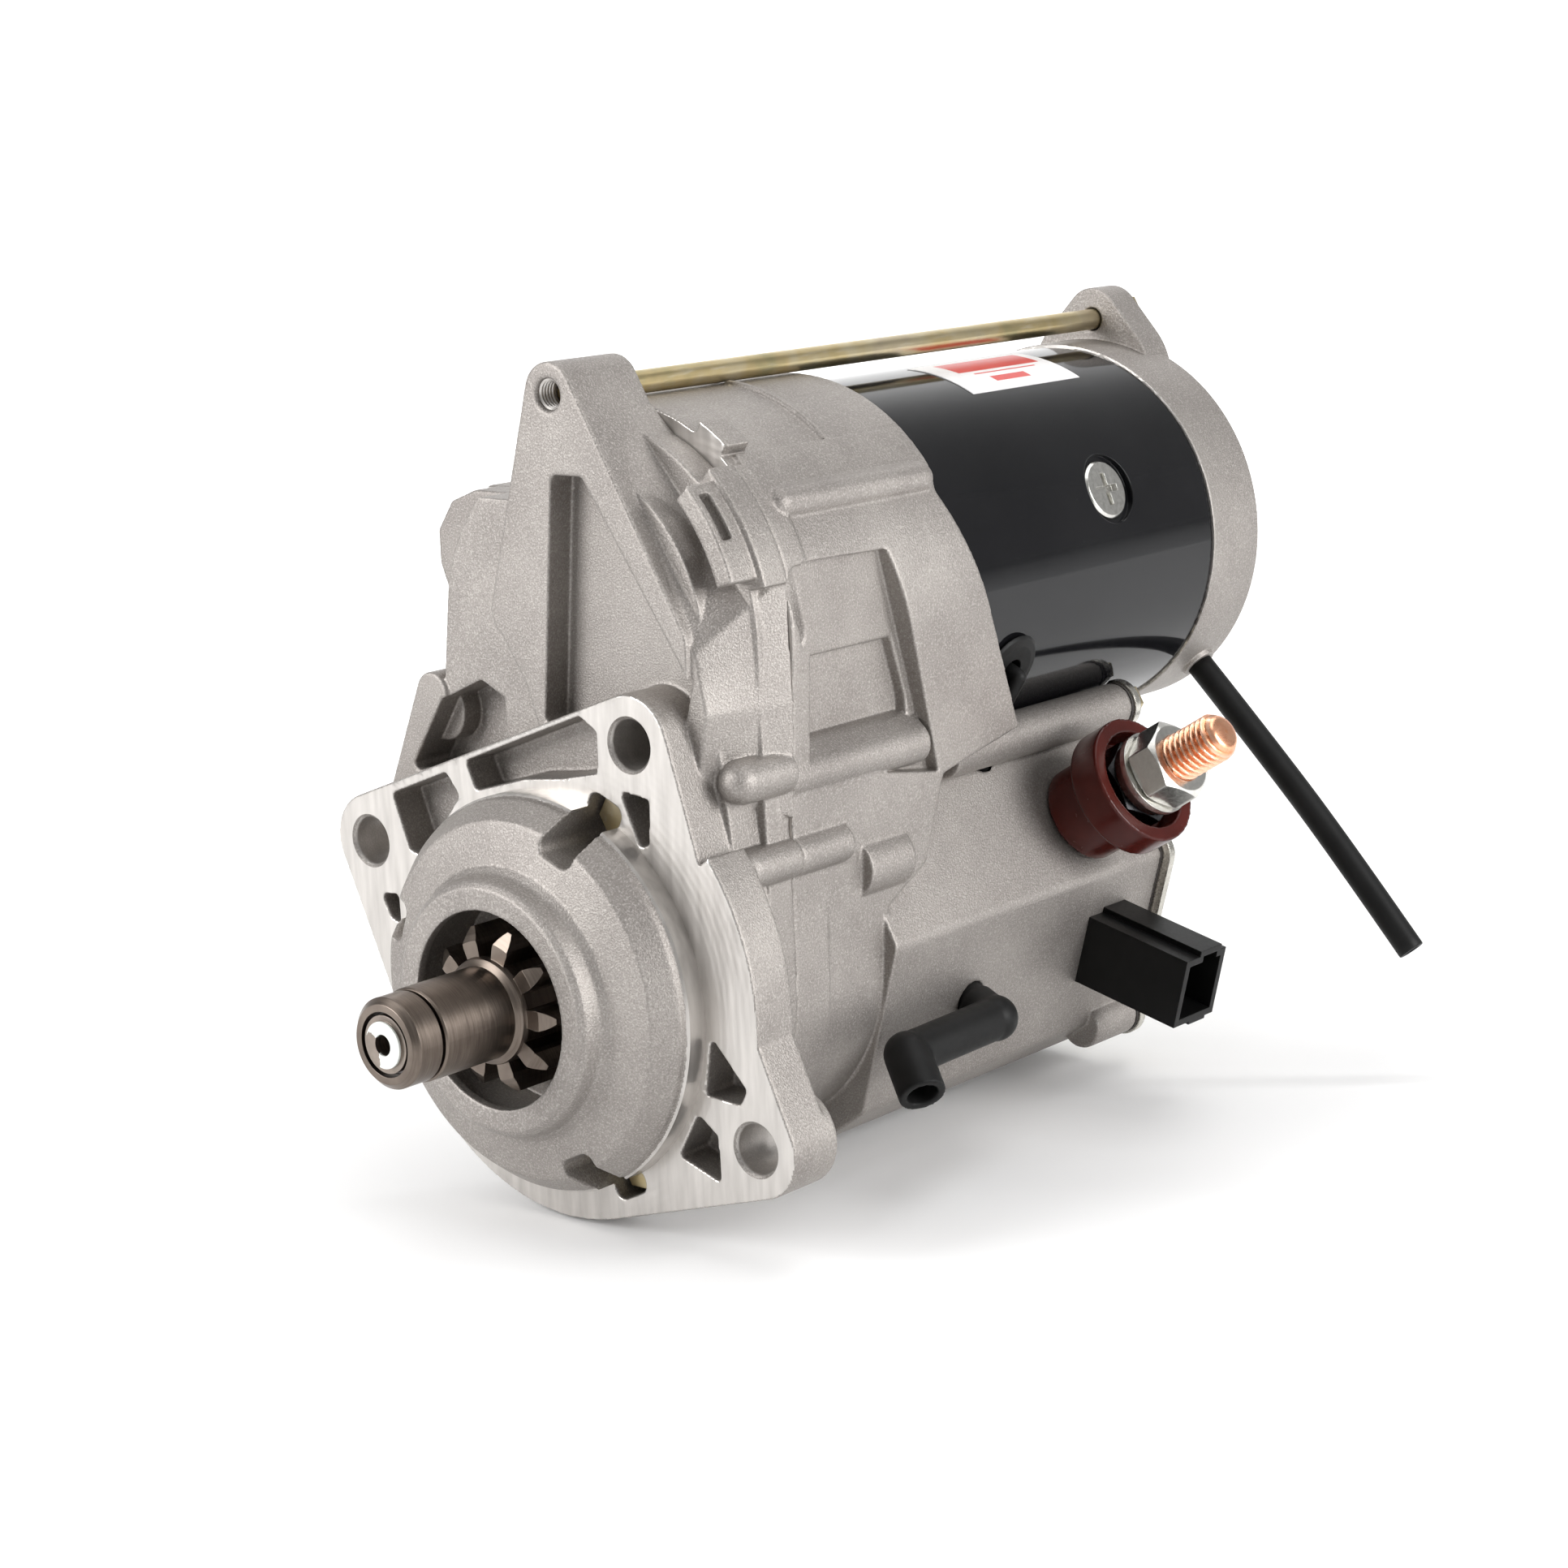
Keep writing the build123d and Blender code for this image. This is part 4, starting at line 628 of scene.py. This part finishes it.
def hex_nut(name, flats, start, end, bore):
    """Nut along X with the corners bevelled at both faces and a countersunk bore."""
    steps, chamfer, countersink = 144, 0.45, 0.8
    made = bmesh.new()
    face_r = flats / 2 - chamfer

    def ring(x_of, radius_of):
        verts = []
        for i in range(steps):
            angle = 2 * math.pi * i / steps
            to_flat = (angle + math.pi / 6) % (math.pi / 3) - math.pi / 6
            hex_r = flats / 2 / math.cos(to_flat)
            hex_r = min(hex_r, flats / 2 * 1.145)
            drop = (hex_r - face_r) * math.tan(math.radians(30))
            verts.append(made.verts.new((x_of(drop) * MM, radius_of(hex_r) * MM * math.cos(angle),
                                         radius_of(hex_r) * MM * math.sin(angle))))
        return verts

    rings = [
        ring(lambda drop: start + 0.7, lambda hex_r: bore),
        ring(lambda drop: start, lambda hex_r: bore + countersink),
        ring(lambda drop: start, lambda hex_r: face_r),
        ring(lambda drop: start + drop, lambda hex_r: hex_r),
        ring(lambda drop: end - drop, lambda hex_r: hex_r),
        ring(lambda drop: end, lambda hex_r: face_r),
        ring(lambda drop: end, lambda hex_r: bore + countersink),
        ring(lambda drop: end - 0.7, lambda hex_r: bore),
    ]
    for low, high in zip(rings, rings[1:] + rings[:1]):
        for i in range(steps):
            j = (i + 1) % steps
            made.faces.new((low[i], low[j], high[j], high[i]))
    bmesh.ops.recalc_face_normals(made, faces=made.faces)
    mesh = bpy.data.meshes.new(name)
    made.to_mesh(mesh)
    made.free()
    return mesh


def mark_sharp(mesh, degrees=30):
    """Keep edges sharper than an angle sharp in a smooth mesh."""
    mesh.polygons.foreach_set("use_smooth", [True] * len(mesh.polygons))
    mesh.set_sharp_from_angle(angle=math.radians(degrees))


def add_terminal():
    place = terminal_matrix()
    stud = new_object("threaded_stud", threaded_stud())
    mark_sharp(stud.data, 40)
    nuts = []
    for name, flats, start, end in (("inner_nut", 19.0, 62.1, 69.0), ("outer_nut", 18.0, 73.6, 82.0)):
        nut = new_object(name, hex_nut(name, flats, start, end, NUT_BORE_R))
        mark_sharp(nut.data)
        nuts.append(nut)
    for piece, node, slot in ((stud, "terminal_stud", "copper"), (nuts[0], "terminal_nuts", "black_steel"),
                              (nuts[1], "terminal_nuts", "bright_zinc")):
        piece.matrix_world = place
        piece.data.materials.append(MATERIALS[slot])
        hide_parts(node)
        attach(piece, "housing")


def add_hose():
    """Free rubber hose: a tube along a smooth curve, with a rounded open end."""
    curve = bpy.data.curves.new("hose_line", "CURVE")
    curve.dimensions = "3D"
    curve.resolution_u = 16
    spline = curve.splines.new("NURBS")
    spline.points.add(len(HOSE_ROUTE) - 1)
    for point, place in zip(spline.points, HOSE_ROUTE):
        point.co = (*(c * MM for c in place), 1)
    spline.order_u = 3
    spline.use_endpoint_u = True
    line = bpy.data.objects.new("hose_line", curve)
    bpy.context.scene.collection.objects.link(line)
    bpy.context.view_layer.update()
    route = bpy.data.meshes.new_from_object(line.evaluated_get(bpy.context.evaluated_depsgraph_get()))
    path = [vert.co.copy() for vert in route.vertices]
    bpy.data.objects.remove(line)

    steps, lip = 48, 0.35
    made = bmesh.new()
    rings = []

    def ring(place, forward, radius):
        side = forward.cross(Vector((0, 1, 0))).normalized()
        other = forward.cross(side)
        rings.append([made.verts.new(place + radius * MM * (math.cos(2 * math.pi * i / steps) * side
                                                            + math.sin(2 * math.pi * i / steps) * other))
                      for i in range(steps)])

    ahead = [(b - a).normalized() for a, b in zip(path, path[1:])]
    ahead.append(ahead[-1])
    ring(path[0], ahead[0], HOSE_BORE_R)
    for place, forward in zip(path[:-1], ahead):
        ring(place, forward, HOSE_R)
    end, forward = path[-1], ahead[-1]
    for back, radius in ((lip, HOSE_R), (0.1, HOSE_R - 0.12), (0.0, HOSE_R - lip), (0.0, HOSE_BORE_R + lip),
                         (0.1, HOSE_BORE_R + 0.12), (lip, HOSE_BORE_R), (22.0, HOSE_BORE_R)):
        ring(end - forward * back * MM, forward, radius)
    close_rings(made, rings, steps)
    mesh = bpy.data.meshes.new("rubber_hose")
    made.to_mesh(mesh)
    made.free()
    hose = new_object("rubber_hose", mesh)
    mesh.materials.append(MATERIALS["black_rubber"])
    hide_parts("drain_hose")
    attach(hose, "housing")


def add_ear_thread():
    """Thread in the tapped hole of the upper ear: a coil of small ridges on its wall."""
    (x, z), start, pitch, turns, steps = EAR_HOLE, 7.05, 0.9, 5, 48
    wall, crest = 3.56, 3.05
    section = ((wall, -0.414), (crest, -0.072), (crest, 0.072), (wall, 0.414))
    made = bmesh.new()
    rings = []
    for i in range(turns * steps + 1):
        angle = 2 * math.pi * i / steps
        y = start + pitch * i / steps
        rings.append([made.verts.new(((x + r * math.cos(angle)) * MM, (y + across) * MM,
                                      (z + r * math.sin(angle)) * MM)) for r, across in section])
    for low, high in zip(rings, rings[1:]):
        for i in range(len(section)):
            j = (i + 1) % len(section)
            made.faces.new((low[i], low[j], high[j], high[i]))
    made.faces.new(rings[0])
    made.faces.new(rings[-1])
    bmesh.ops.recalc_face_normals(made, faces=made.faces)
    mesh = bpy.data.meshes.new("ear_thread")
    made.to_mesh(mesh)
    made.free()
    thread = new_object("ear_thread", mesh)
    mark_sharp(mesh, 50)
    put_attribute(mesh, "machined", np.ones(len(mesh.vertices)))
    put_attribute(mesh, "edge", np.zeros(len(mesh.vertices)))
    mesh.materials.append(MATERIALS["cast_aluminium"])
    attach(thread, "housing")


def soften(node, voxel, passes, slot, name):
    """A moulded piece with its CAD edges rounded."""
    rough = with_modifier(NODES[node].data.copy(), "REMESH", mode="VOXEL", voxel_size=voxel * MM)
    points = read_points(rough) / MM
    write_points(rough, relax(rough, points, np.ones(len(points)), passes) * MM)
    rough.materials.clear()
    rough.materials.append(MATERIALS[slot])
    piece = new_object(name, rough)
    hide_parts(node)
    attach(piece, "housing")


# ---- the scene -----------------------------------------------------------------------------------------
add_camera()
add_stage()
add_lights()
MATERIALS = make_materials()

SLOT_OF = {row["node"]: row["material_slot"] for row in frame["record"]["subparts"]}
WOUND = ("armature_winding", "field_coils", "switch_coil")
for node, obj in NODES.items():
    material = MATERIALS[SLOT_OF[node]]
    if node in WOUND:
        material = bpy.data.materials.get("wound_copper") or wound_copper()
    if node == "pinion_shaft":
        material = shaft_steel()
    obj.data.materials.clear()
    obj.data.materials.append(material)

recast("drive_housing", "front_casting", 6, crisp_drive, 190000)
recast("switch_housing", "switch_casting", 9, crisp_switch, 190000)
recast("end_frame", "rear_casting", 7, crisp_end, 80000)
soften("terminal_insulator", 0.4, 3, "phenolic", "terminal_collar")
soften("vent_elbow", 0.35, 4, "black_rubber", "breather_elbow")
add_terminal()
add_ear_thread()
add_hose()
